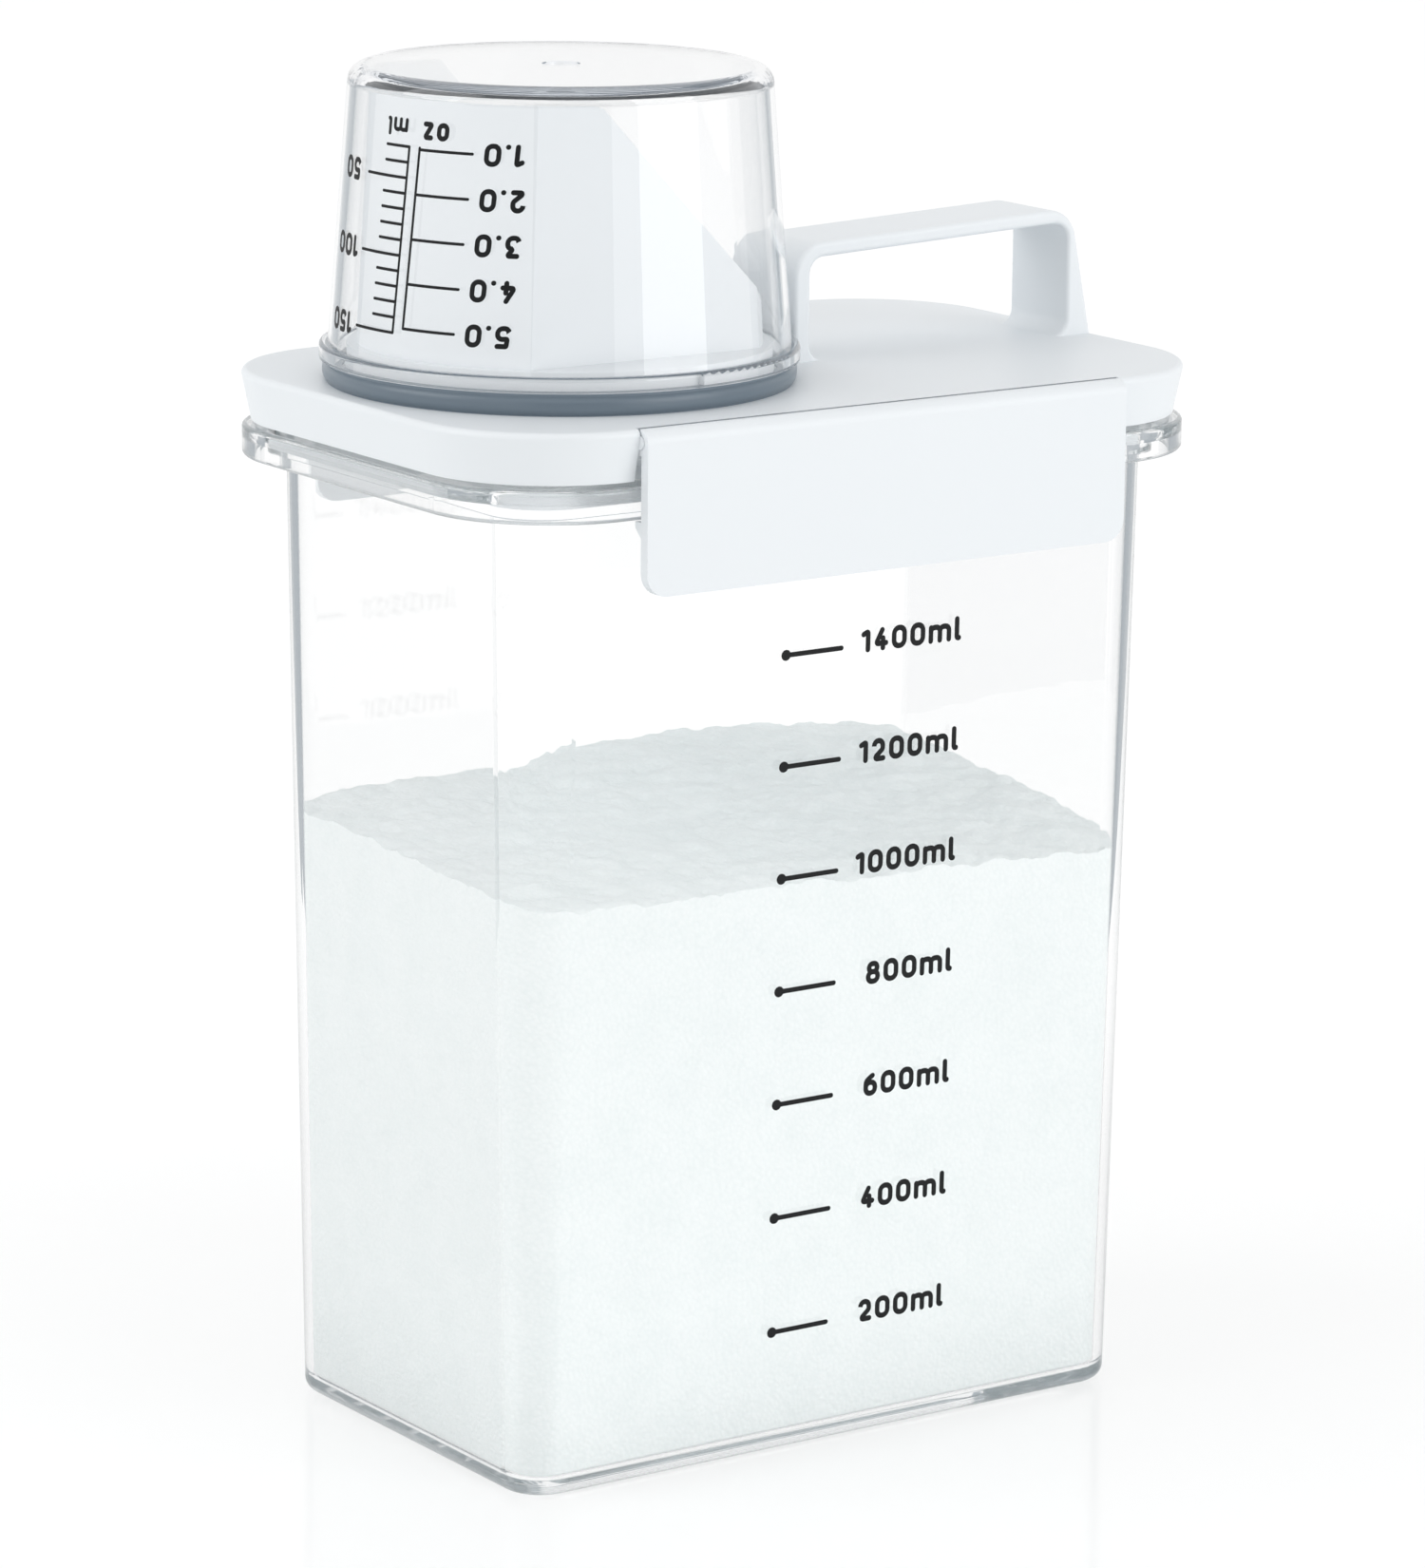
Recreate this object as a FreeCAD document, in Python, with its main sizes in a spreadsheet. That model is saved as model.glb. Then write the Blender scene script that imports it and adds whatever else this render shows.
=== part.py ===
"""Detergent dispenser bottle: clear container, clip-on lid, pouring spout and measuring cup.

Millimetres, +Z up, origin on the floor under the middle of the container.
+X points along the length to the handle end, and -Y faces the viewer.
"""
import FreeCAD, Part
import math
import os
import Sketcher

doc = FreeCAD.newDocument("detergent_dispenser")
sheet = doc.addObject("Spreadsheet::Sheet", "Sizes")

# Driving sizes in millimetres and degrees.
SIZES = {
    # Clear container
    "base_length": 128.4,
    "base_width": 79.0,
    "rim_height": 177.0,
    "tub_draft": 0.87,
    "corner_radius": 8.0,
    "tub_wall": 1.8,
    "tub_floor": 2.6,
    "bottom_round": 2.5,
    "floor_round": 1.5,
    "foot_width": 7.0,
    "foot_recess": 0.8,
    "flange_end_reach": 9.31,
    "flange_side_reach": 8.41,
    "flange_corner": 23.3,
    "flange_plate": 2.6,
    "flange_drop": 5.6,
    "flange_lip": 2.2,
    "flange_round": 0.8,
    "flange_root": 1.0,
    # Contents
    "powder_height": 105.0,
    # Lid
    "lid_end_reach": 0.9,
    "lid_side_reach": 0.65,
    "lid_corner_reach": 2.4,
    "lid_rise": 9.7,
    "lid_plate": 2.2,
    "lid_round": 1.0,
    "skirt_gap": 0.8,
    "skirt_draft": 11.5,
    "skirt_wall": 2.0,
    "plug_gap": 0.7,
    "plug_wall": 1.8,
    "plug_depth": 4.4,
    # Lid seal
    "gasket_width": 4.2,
    "gasket_height": 2.4,
    "rest_gap": 0.3,
    # Side latches and their snap-on hinge
    "latch_inset": 1.6,
    "latch_stand": 2.4,
    "latch_wall": 2.0,
    "latch_drop": 18.4,
    "latch_corner": 4.0,
    "latch_side_gap": 0.3,
    "barrel_radius": 2.25,
    "bead_radius": 1.15,
    "bead_clearance": 0.05,
    "barrel_gap": 0.3,
    "barrel_start": 85.0,
    "barrel_end": 280.0,
    "latch_travel": 95.0,
    "web_gap": 4.0,
    "web_length": 3.0,
    "web_foot": 6.7,
    "recess_wall": 2.3,
    "hook_reach": 1.3,
    "hook_gap": 0.3,
    "hook_tip": 1.0,
    "hook_root": 2.7,
    # Carry handle
    "handle_width": 17.0,
    "handle_cup_gap": 2.71,
    "handle_leg": 3.3,
    "handle_end_gap": 6.3,
    "handle_foot_gap": 0.8,
    "handle_shoulder_gap": 5.5,
    "handle_rise": 20.6,
    "handle_tilt": 2.4,
    "handle_strap": 2.5,
    "handle_flare": 3.0,
    "handle_outer_round": 6.0,
    "handle_inner_round": 3.0,
    "handle_edge_round": 0.8,
    "tenon_width": 9.0,
    "tenon_thickness": 2.6,
    # Seal ring under the cup
    "ring_radius": 40.84,
    "ring_inset": 3.71,
    "ring_band": 3.84,
    "ring_height": 3.65,
    "ring_round": 0.8,
    # Measuring cup
    "cup_gap": 0.3,
    "cup_rise": 54.1,
    "cup_rim_step": 0.74,
    "cup_narrowing": 3.9,
    "cup_wall": 1.7,
    "cup_roof": 2.0,
    "cup_lip_reach": 1.3,
    "cup_lip_height": 2.6,
    "cup_round": 3.0,
    "cup_inner_round": 1.6,
    "cup_lip_round": 0.7,
    "gate_radius": 3.3,
    "gate_depth": 0.4,
    # Pouring spout
    "collar_step": 0.4,
    "rim_ring_band": 1.5,
    "rim_ring_height": 3.2,
    "spout_side_gap": 2.0,
    "spout_head_gap": 1.0,
    "spout_bottom_flat_cut": 8.6,
    "spout_top_flat_cut": 7.5,
    "spout_wall": 1.7,
    "spout_low_rise": 14.6,
    "spout_cut_start": -9.5,
    "spout_cut_end": 25.0,
    "neck_step": 8.4,
    "neck_flat_cut": 4.6,
    "snap_rib": 0.6,
    "snap_height": 1.8,
    "lug_reach": 1.3,
    "lug_height": 2.2,
    "lug_half_angle": 14.0,
    "lug_direction": -71.0,
}

# Sizes and places that follow from the driving sizes.
FOLLOWING = {
    "mouth_growth": "2 * rim_height * tan(tub_draft * 1 deg)",
    "flange_length": "base_length + mouth_growth + 2 * flange_end_reach",
    "flange_width": "base_width + mouth_growth + 2 * flange_side_reach",
    "lid_length": "flange_length + 2 * lid_end_reach",
    "lid_width": "flange_width + 2 * lid_side_reach",
    "lid_corner": "flange_corner + lid_corner_reach",
    "lid_top": "rim_height + lid_rise",
    "skirt_bottom": "rim_height + skirt_gap",
    "plug_bottom": "rim_height - plug_depth",
    "latch_half": "lid_length / 2 - lid_corner - latch_inset",
    "latch_face": "flange_width / 2 + latch_stand",
    "latch_bottom": "rim_height - latch_drop",
    "cup_offset": "ring_inset + ring_radius - lid_length / 2",
    "cup_top": "lid_top + cup_rise",
    "cup_rim_radius": "ring_radius - cup_rim_step",
    "cup_top_radius": "cup_rim_radius - cup_narrowing",
    "cup_lip_radius": "cup_rim_radius + cup_lip_reach",
    "collar_radius": "ring_radius - ring_band",
    "rim_ring_radius": "collar_radius - collar_step",
    "spout_bottom_radius": "rim_ring_radius - rim_ring_band",
    "spout_top_radius": "cup_top_radius - cup_wall - spout_side_gap",
    "spout_bottom_flat": "spout_bottom_radius - spout_bottom_flat_cut",
    "spout_top_flat": "spout_top_radius - spout_top_flat_cut",
    "spout_top": "cup_top - cup_roof - spout_head_gap",
    "spout_low": "lid_top + spout_low_rise",
    "neck_radius": "collar_radius - neck_step",
    "neck_flat": "neck_radius - neck_flat_cut",
    "lug_radius": "rim_ring_radius + lug_reach",
    "handle_left": "cup_offset + ring_radius + handle_cup_gap",
    "handle_right": "lid_length / 2 - handle_end_gap",
    "handle_foot": "lid_length / 2 - handle_foot_gap",
    "handle_shoulder": "lid_length / 2 - handle_shoulder_gap",
    "handle_top_left": "lid_top + handle_rise",
    "handle_top_right": "handle_top_left + handle_tilt",
}

size_names = list(SIZES) + list(FOLLOWING)
cell_texts = [str(size) for size in SIZES.values()] + [f"={formula}" for formula in FOLLOWING.values()]
for row, (size_name, cell_text) in enumerate(zip(size_names, cell_texts), start=1):
    sheet.set(f"A{row}", size_name)
    sheet.setAlias(f"B{row}", size_name)
    sheet.set(f"B{row}", cell_text)
doc.recompute()


def sized(expression):
    """Put the sheet's name before every size name in an expression."""
    words = []
    word = ""
    for letter in expression + " ":
        if letter.isalnum() or letter == "_":
            word += letter
            continue
        words.append(f"Sizes.{word}" if word in size_names else word)
        words.append(letter)
        word = ""
    return "".join(words).strip()


def value_of(expression):
    """Work out an expression of sheet sizes as a number."""
    return float(sheet.evalExpression(sized(expression)))


def new_body(node, place_x=None, turn=0.0):
    """Start one sub-part, standing at its own place in the shared frame."""
    body = doc.addObject("PartDesign::Body", node)
    body.Label = node
    body.Placement = FreeCAD.Placement(
        FreeCAD.Vector(0, 0, 0), FreeCAD.Rotation(FreeCAD.Vector(0, 0, 1), turn))
    if place_x:
        body.setExpression("Placement.Base.x", sized(place_x))
    return body


def origin_plane(body, role):
    """Find one of a body's own three origin planes."""
    return next(part for part in body.Origin.OriginFeatures if part.Role == role)


def new_sketch(body, name, plane="XY_Plane", offset=None):
    """Add an empty sketch on an origin plane, moved along the plane's normal."""
    sketch = body.newObject("Sketcher::SketchObject", name)
    sketch.AttachmentSupport = [(origin_plane(body, plane), "")]
    sketch.MapMode = "FlatFace"
    if offset:
        sketch.setExpression("AttachmentOffset.Base.z", sized(offset))
    return sketch


def bind(sketch, kind, *where, size):
    """Add one dimension to a sketch, driven by an expression."""
    index = sketch.addConstraint(Sketcher.Constraint(kind, *where, value_of(size)))
    sketch.setExpression(f"Constraints[{index}]", sized(size))


def flat_point(x, y):
    return FreeCAD.Vector(x, y, 0)


def arc_piece(centre, radius, start, end):
    """An arc that runs counter-clockwise between two angles in radians."""
    circle = Part.Circle(centre, FreeCAD.Vector(0, 0, 1), radius)
    return Part.ArcOfCircle(circle, start, end)


def rounded_rectangle(sketch, half_x, half_y, radius):
    """Draw a rectangle with round corners about the sketch's origin."""
    x = value_of(half_x)
    y = value_of(half_y)
    r = value_of(radius)
    first = sketch.GeometryCount
    corners = ((x - r, r - y), (x - r, y - r), (r - x, y - r), (r - x, r - y))
    sides = (
        ((r - x, -y), (x - r, -y)), ((x, r - y), (x, y - r)),
        ((x - r, y), (r - x, y)), ((-x, y - r), (-x, r - y)))
    for turn, ((start, end), centre) in enumerate(zip(sides, corners)):
        sketch.addGeometry(Part.LineSegment(flat_point(*start), flat_point(*end)))
        from_angle = (turn - 1) * math.pi / 2
        sketch.addGeometry(arc_piece(flat_point(*centre), r, from_angle, from_angle + math.pi / 2))
    for step in range(8):
        following = first + (step + 1) % 8
        sketch.addConstraint(Sketcher.Constraint("Tangent", first + step, 2, following, 1))
    for side, direction in zip((0, 2, 4, 6), ("Horizontal", "Vertical", "Horizontal", "Vertical")):
        sketch.addConstraint(Sketcher.Constraint(direction, first + side))
    for arc in (3, 5, 7):
        sketch.addConstraint(Sketcher.Constraint("Equal", first + 1, first + arc))
    bind(sketch, "Radius", first + 1, size=radius)
    bind(sketch, "DistanceX", -1, 1, first + 2, 1, size=half_x)
    bind(sketch, "DistanceX", first + 6, 1, -1, 1, size=half_x)
    bind(sketch, "DistanceY", -1, 1, first + 4, 1, size=half_y)
    bind(sketch, "DistanceY", first, 1, -1, 1, size=half_y)


def flatted_circle(sketch, radius, flat):
    """Draw a circle about the sketch's origin with two flats across it."""
    r = value_of(radius)
    y = value_of(flat)
    x = math.sqrt(r * r - y * y)
    angle = math.atan2(y, x)
    middle = flat_point(0, 0)
    sketch.addGeometry(arc_piece(middle, r, -angle, angle))
    sketch.addGeometry(Part.LineSegment(flat_point(x, y), flat_point(-x, y)))
    sketch.addGeometry(arc_piece(middle, r, math.pi - angle, math.pi + angle))
    sketch.addGeometry(Part.LineSegment(flat_point(-x, -y), flat_point(x, -y)))
    for step in range(4):
        sketch.addConstraint(Sketcher.Constraint("Coincident", step, 2, (step + 1) % 4, 1))
    for arc in (0, 2):
        sketch.addConstraint(Sketcher.Constraint("Coincident", arc, 3, -1, 1))
    for side in (1, 3):
        sketch.addConstraint(Sketcher.Constraint("Horizontal", side))
    sketch.addConstraint(Sketcher.Constraint("Equal", 0, 2))
    bind(sketch, "Radius", 0, size=radius)
    bind(sketch, "DistanceY", -1, 1, 1, 1, size=flat)
    bind(sketch, "DistanceY", 3, 1, -1, 1, size=flat)


def ring_circle(sketch, radius):
    """Draw a circle about the sketch's origin."""
    index = sketch.addGeometry(
        Part.Circle(flat_point(0, 0), FreeCAD.Vector(0, 0, 1), value_of(radius)))
    sketch.addConstraint(Sketcher.Constraint("Coincident", index, 3, -1, 1))
    bind(sketch, "Radius", index, size=radius)


def arc_between(start, end, radius, turn, large):
    """An arc from one point to another: turn is +1 counter-clockwise or -1 clockwise."""
    chord = end - start
    side = turn * (-1 if large else 1)
    rise = math.sqrt(max(radius * radius - chord.Length ** 2 / 4, 0.0))
    left = flat_point(-chord.y, chord.x).normalize()
    centre = (start + end) * 0.5 + left * (side * rise)
    first, last = (start, end) if turn > 0 else (end, start)
    from_angle = math.atan2(first.y - centre.y, first.x - centre.x)
    to_angle = math.atan2(last.y - centre.y, last.x - centre.x)
    if to_angle < from_angle:
        to_angle += 2 * math.pi
    return arc_piece(centre, radius, from_angle, to_angle)


def outline(sketch, corners):
    """Draw a closed outline through corners given as expressions.

    A corner is (across, up), or (across, up, radius, turn, large) for an arc that leaves it.
    """
    first = sketch.GeometryCount
    points = [flat_point(value_of(corner[0]), value_of(corner[1])) for corner in corners]
    ends = []
    for index, corner in enumerate(corners):
        start = points[index]
        end = points[(index + 1) % len(points)]
        if len(corner) == 2:
            sketch.addGeometry(Part.LineSegment(start, end))
            ends.append((1, 2))
            continue
        radius, turn, large = corner[2:]
        sketch.addGeometry(arc_between(start, end, value_of(radius), turn, large))
        ends.append((1, 2) if turn > 0 else (2, 1))
    for index, corner in enumerate(corners):
        piece = first + index
        following = (index + 1) % len(corners)
        sketch.addConstraint(Sketcher.Constraint(
            "Coincident", piece, ends[index][1], first + following, ends[following][0]))
        bind(sketch, "DistanceX", -1, 1, piece, ends[index][0], size=corner[0])
        bind(sketch, "DistanceY", -1, 1, piece, ends[index][0], size=corner[1])
        if len(corner) > 2:
            bind(sketch, "Radius", piece, size=corner[2])


def extrude(body, kind, sketch, length, backwards=False, both_ways=False):
    """Pad or pocket a sketch by a length from the sheet."""
    feature = body.newObject(f"PartDesign::{kind}", f"{sketch.Name}_{kind}")
    feature.Profile = sketch
    feature.setExpression("Length", sized(length))
    feature.Reversed = backwards
    feature.SideType = "Symmetric" if both_ways else "One side"
    doc.recompute()
    return feature


def loft(body, kind, lower, upper):
    """Join two sketches with straight sides."""
    feature = body.newObject(f"PartDesign::{kind}", f"{lower.Name}_{kind}")
    feature.Profile = lower
    feature.Sections = [upper]
    feature.Ruled = True
    doc.recompute()
    return feature


def picked(kind, pieces, chosen):
    """The names of the faces or edges that a test picks."""
    return [f"{kind}{index}" for index, piece in enumerate(pieces, start=1) if chosen(piece)]


def lean_sides(body, feature, angle, bottom, inside=None):
    """Lean a feature's upright sides outward from its flat bottom, all of them or the inside ones."""
    z = value_of(bottom)

    def upright(face):
        box = face.BoundBox
        kept = inside is None or (abs(box.XMin) < inside[0] and abs(box.YMin) < inside[1])
        return kept and box.ZLength > 0.5 and abs(box.ZMin - z) < 0.01

    def flat_bottom(face):
        box = face.BoundBox
        kept = inside is None or (abs(box.XMin) < inside[0] and abs(box.YMin) < inside[1])
        return kept and box.ZLength < 0.001 and abs(box.ZMin - z) < 0.01

    leaning = body.newObject("PartDesign::Draft", f"{feature.Name}_Lean")
    faces = feature.Shape.Faces
    leaning.Base = (feature, picked("Face", faces, upright))
    leaning.NeutralPlane = (feature, picked("Face", faces, flat_bottom)[:1])
    leaning.setExpression("Angle", sized(angle))
    leaning.Reversed = inside is None
    doc.recompute()
    return leaning


def round_edges(body, feature, radius, chosen):
    """Round every edge of a feature that the test picks."""
    fillet = body.newObject("PartDesign::Fillet", f"{feature.Name}_Round")
    fillet.Base = (feature, picked("Edge", feature.Shape.Edges, chosen))
    fillet.setExpression("Radius", sized(radius))
    doc.recompute()
    return fillet


def reach_x(edge):
    """How far an edge reaches from the middle along X."""
    return max(abs(edge.BoundBox.XMin), abs(edge.BoundBox.XMax))


def reach_y(edge):
    """How far an edge reaches from the middle along Y."""
    return max(abs(edge.BoundBox.YMin), abs(edge.BoundBox.YMax))


def is_level(edge, height):
    """Whether an edge lies flat at one height."""
    return edge.BoundBox.ZLength < 0.01 and abs(edge.BoundBox.ZMin - value_of(height)) < 0.01


def tub_half(size, height):
    """Half the tub's outside at a height, as an expression."""
    return f"{size} / 2 + ({height}) * tan(tub_draft * 1 deg)"


def cavity_outline(sketch):
    """Draw the inside of the tub at its floor."""
    rounded_rectangle(
        sketch, f"{tub_half('base_length', 'tub_floor')} - tub_wall",
        f"{tub_half('base_width', 'tub_floor')} - tub_wall", "corner_radius - tub_wall")


def make_container():
    """The clear tub: leaning walls, a foot ring and a flange with a turned-down lip."""
    body = new_body("container")
    base = new_sketch(body, "tub_base")
    rounded_rectangle(base, "base_length / 2", "base_width / 2", "corner_radius")
    tub = extrude(body, "Pad", base, "rim_height")
    tub = lean_sides(body, tub, "tub_draft", "rim_height * 0")
    round_edges(body, tub, "bottom_round", lambda edge: edge.BoundBox.ZMax < 0.01)

    flange = new_sketch(body, "flange", offset="rim_height - flange_drop")
    rounded_rectangle(flange, "flange_length / 2", "flange_width / 2", "flange_corner")
    rim = extrude(body, "Pad", flange, "flange_drop")

    def flange_edge(edge):
        level = is_level(edge, "rim_height") or is_level(edge, "rim_height - flange_drop")
        past_wall = reach_x(edge) > value_of(f"{tub_half('base_length', 'rim_height')} + flange_root")
        past_side = reach_y(edge) > value_of(f"{tub_half('base_width', 'rim_height')} + flange_root")
        return level and (past_wall or past_side)

    round_edges(body, rim, "flange_round", flange_edge)

    under = new_sketch(body, "flange_hollow", offset="rim_height - flange_drop")
    rounded_rectangle(
        under, "flange_length / 2 - flange_lip", "flange_width / 2 - flange_lip",
        "flange_corner - flange_lip")
    rounded_rectangle(
        under, f"{tub_half('base_length', 'rim_height')} + flange_root",
        f"{tub_half('base_width', 'rim_height')} + flange_root", "corner_radius + flange_root")
    extrude(body, "Pocket", under, "flange_drop - flange_plate", backwards=True)

    foot = new_sketch(body, "foot_outline")
    rounded_rectangle(
        foot, "base_length / 2 - foot_width", "base_width / 2 - foot_width", "corner_radius / 2")
    extrude(body, "Pocket", foot, "foot_recess", backwards=True)

    floor = new_sketch(body, "tub_inside", offset="tub_floor")
    cavity_outline(floor)
    cavity = extrude(body, "Pocket", floor, "rim_height - tub_floor", backwards=True)
    inner = (value_of("base_length / 2"), value_of("base_width / 2"))
    cavity = lean_sides(body, cavity, "tub_draft", "tub_floor", inside=inner)
    round_edges(body, cavity, "floor_round", lambda edge: is_level(edge, "tub_floor"))
    return body


def make_powder():
    """The washing powder, filling the tub's inside to its level."""
    body = new_body("detergent_powder")
    floor = new_sketch(body, "powder_floor", offset="tub_floor")
    cavity_outline(floor)
    heap = extrude(body, "Pad", floor, "powder_height - tub_floor")
    heap = lean_sides(body, heap, "tub_draft", "tub_floor")
    round_edges(body, heap, "floor_round", lambda edge: is_level(edge, "tub_floor"))
    return body


HINGE_Y = "(barrel_radius - latch_face)"
HINGE_Z = "(lid_top - barrel_radius)"
RECESS_BACK = "(latch_face - barrel_radius * 2 - barrel_gap * 2)"
SEAT_BOTTOM = "(rim_height + rest_gap + gasket_height)"
LATCH_SPAN = "2 * (latch_half + latch_side_gap)"


def around_hinge(radius, angle):
    """The point at a radius and an angle round the front hinge line, as expressions."""
    return (f"{HINGE_Y} + ({radius}) * cos(({angle}) * 1 deg)",
            f"{HINGE_Z} + ({radius}) * sin(({angle}) * 1 deg)")


def plug_outline(sketch, grow):
    """Draw the plug that fits the tub's mouth, grown outward by an amount."""
    rounded_rectangle(
        sketch, f"{tub_half('base_length', 'rim_height')} - tub_wall - plug_gap + ({grow})",
        f"{tub_half('base_width', 'rim_height')} - tub_wall - plug_gap + ({grow})",
        f"corner_radius + rim_height * tan(tub_draft * 1 deg) - tub_wall - plug_gap + ({grow})")


def mirror(body, feature):
    """Repeat a front feature on the rear side."""
    copy = body.newObject("PartDesign::Mirrored", f"{feature.Name}_Rear")
    copy.Originals = [feature]
    copy.MirrorPlane = (origin_plane(body, "XZ_Plane"), [""])
    body.Tip = copy
    doc.recompute()
    return copy


def make_lid():
    """The white lid: top plate, leaning skirt, plug, gasket seat and two hinge beads."""
    body = new_body("lid")
    lean = "(lid_top - skirt_bottom) * tan(skirt_draft * 1 deg)"
    skirt = new_sketch(body, "lid_skirt", offset="skirt_bottom")
    rounded_rectangle(
        skirt, f"lid_length / 2 - {lean}", f"lid_width / 2 - {lean}", f"lid_corner - {lean}")
    shell = extrude(body, "Pad", skirt, "lid_top - skirt_bottom")
    shell = lean_sides(body, shell, "skirt_draft", "skirt_bottom")
    round_edges(body, shell, "lid_round", lambda edge: is_level(edge, "lid_top"))

    hollow = new_sketch(body, "lid_hollow", offset="skirt_bottom")
    rounded_rectangle(
        hollow, f"lid_length / 2 - {lean} - skirt_wall", f"{RECESS_BACK} - recess_wall",
        f"lid_corner - {lean} - skirt_wall")
    extrude(body, "Pocket", hollow, "lid_top - lid_plate - skirt_bottom", backwards=True)

    seat = new_sketch(body, "gasket_seat", offset=SEAT_BOTTOM)
    plug_outline(seat, "gasket_width")
    plug_outline(seat, "0 - plug_wall")
    extrude(body, "Pad", seat, f"lid_top - lid_plate - {SEAT_BOTTOM}")
    plug = new_sketch(body, "plug", offset="plug_bottom")
    plug_outline(plug, "plug_wall * 0")
    plug_outline(plug, "0 - plug_wall")
    extrude(body, "Pad", plug, f"{SEAT_BOTTOM} - plug_bottom")

    recess = new_sketch(body, "latch_recess", plane="YZ_Plane")
    outline(recess, [
        ("0 - lid_width", "skirt_bottom - lid_plate"),
        (f"0 - {RECESS_BACK}", "skirt_bottom - lid_plate"),
        (f"0 - {RECESS_BACK}", "lid_top + lid_plate"),
        ("0 - lid_width", "lid_top + lid_plate")])
    mirror(body, extrude(body, "Pocket", recess, LATCH_SPAN, both_ways=True))

    web_start = "barrel_end + web_gap"
    web_end = "barrel_start - latch_travel - web_gap"
    groove = "(barrel_radius + barrel_gap)"
    brow = new_sketch(body, "hinge_brow", plane="YZ_Plane")
    outline(brow, [
        (f"recess_wall - {RECESS_BACK}", "lid_top"),
        (f"{HINGE_Y} + sqrt({groove} ^ 2 - barrel_radius ^ 2)", "lid_top", groove, -1, False),
        around_hinge(groove, web_end),
        around_hinge("bead_radius", web_end) + ("bead_radius", 1, True),
        around_hinge("bead_radius", web_start),
        around_hinge("web_length", web_start),
        (f"0 - {RECESS_BACK}", "lid_top - web_foot"),
        (f"recess_wall - {RECESS_BACK}", "lid_top - web_foot")])
    mirror(body, extrude(body, "Pad", brow, LATCH_SPAN, both_ways=True))

    hole = new_sketch(body, "spout_hole", offset="lid_top")
    hole.setExpression("AttachmentOffset.Base.x", sized("cup_offset"))
    flatted_circle(hole, "neck_radius", "neck_flat")
    extrude(body, "Pocket", hole, "lid_plate")
    sockets = new_sketch(body, "handle_sockets", offset="lid_top")
    tenon_outlines(sockets)
    extrude(body, "Pocket", sockets, "lid_plate")
    return body


def make_gasket():
    """The silicone seal between the lid and the tub's rim."""
    body = new_body("lid_gasket")
    ring = new_sketch(body, "gasket_outline", offset="rim_height + rest_gap")
    plug_outline(ring, "gasket_width")
    plug_outline(ring, "plug_wall * 0")
    extrude(body, "Pad", ring, "gasket_height")
    return body


def make_latch(node, turn):
    """One side latch: a flap with a snap-on hinge barrel and a hook under the flange."""
    body = new_body(node, turn=turn)
    inner_face = "(latch_wall - latch_face)"
    hook_top = "(rim_height - flange_drop - hook_gap)"
    hook_end = "(hook_reach - flange_width / 2)"
    bore = "(bead_radius + bead_clearance)"
    root_drop = f"sqrt(barrel_radius ^ 2 - ({inner_face} - {HINGE_Y}) ^ 2)"
    section = new_sketch(body, f"{node}_section", plane="YZ_Plane")
    outline(section, [
        around_hinge("barrel_radius", "barrel_start") + ("barrel_radius", 1, False),
        ("0 - latch_face", HINGE_Z),
        ("0 - latch_face", "latch_bottom"),
        (inner_face, "latch_bottom"),
        (inner_face, f"{hook_top} - hook_root"),
        (hook_end, f"{hook_top} - hook_tip"),
        (hook_end, hook_top),
        (inner_face, hook_top),
        (inner_face, f"{HINGE_Z} - {root_drop}", "barrel_radius", 1, False),
        around_hinge("barrel_radius", "barrel_end"),
        around_hinge(bore, "barrel_end") + (bore, -1, True),
        around_hinge(bore, "barrel_start")])
    flap = extrude(body, "Pad", section, "2 * latch_half", both_ways=True)

    def lower_corner(edge):
        box = edge.BoundBox
        return box.YLength > 1 and box.XLength < 0.01 and box.ZMax < value_of("latch_bottom") + 0.01

    round_edges(body, flap, "latch_corner", lower_corner)
    return body


def tenon_outlines(sketch):
    """Draw the two tenons that hold the handle's feet."""
    half_width = "(tenon_width / 2)"
    gap = "((handle_leg - tenon_thickness) / 2)"
    for start in (f"handle_left + {gap}", f"handle_right + {gap}"):
        end = f"{start} + tenon_thickness"
        outline(sketch, [
            (start, f"0 - {half_width}"), (end, f"0 - {half_width}"),
            (end, half_width), (start, half_width)])


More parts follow.
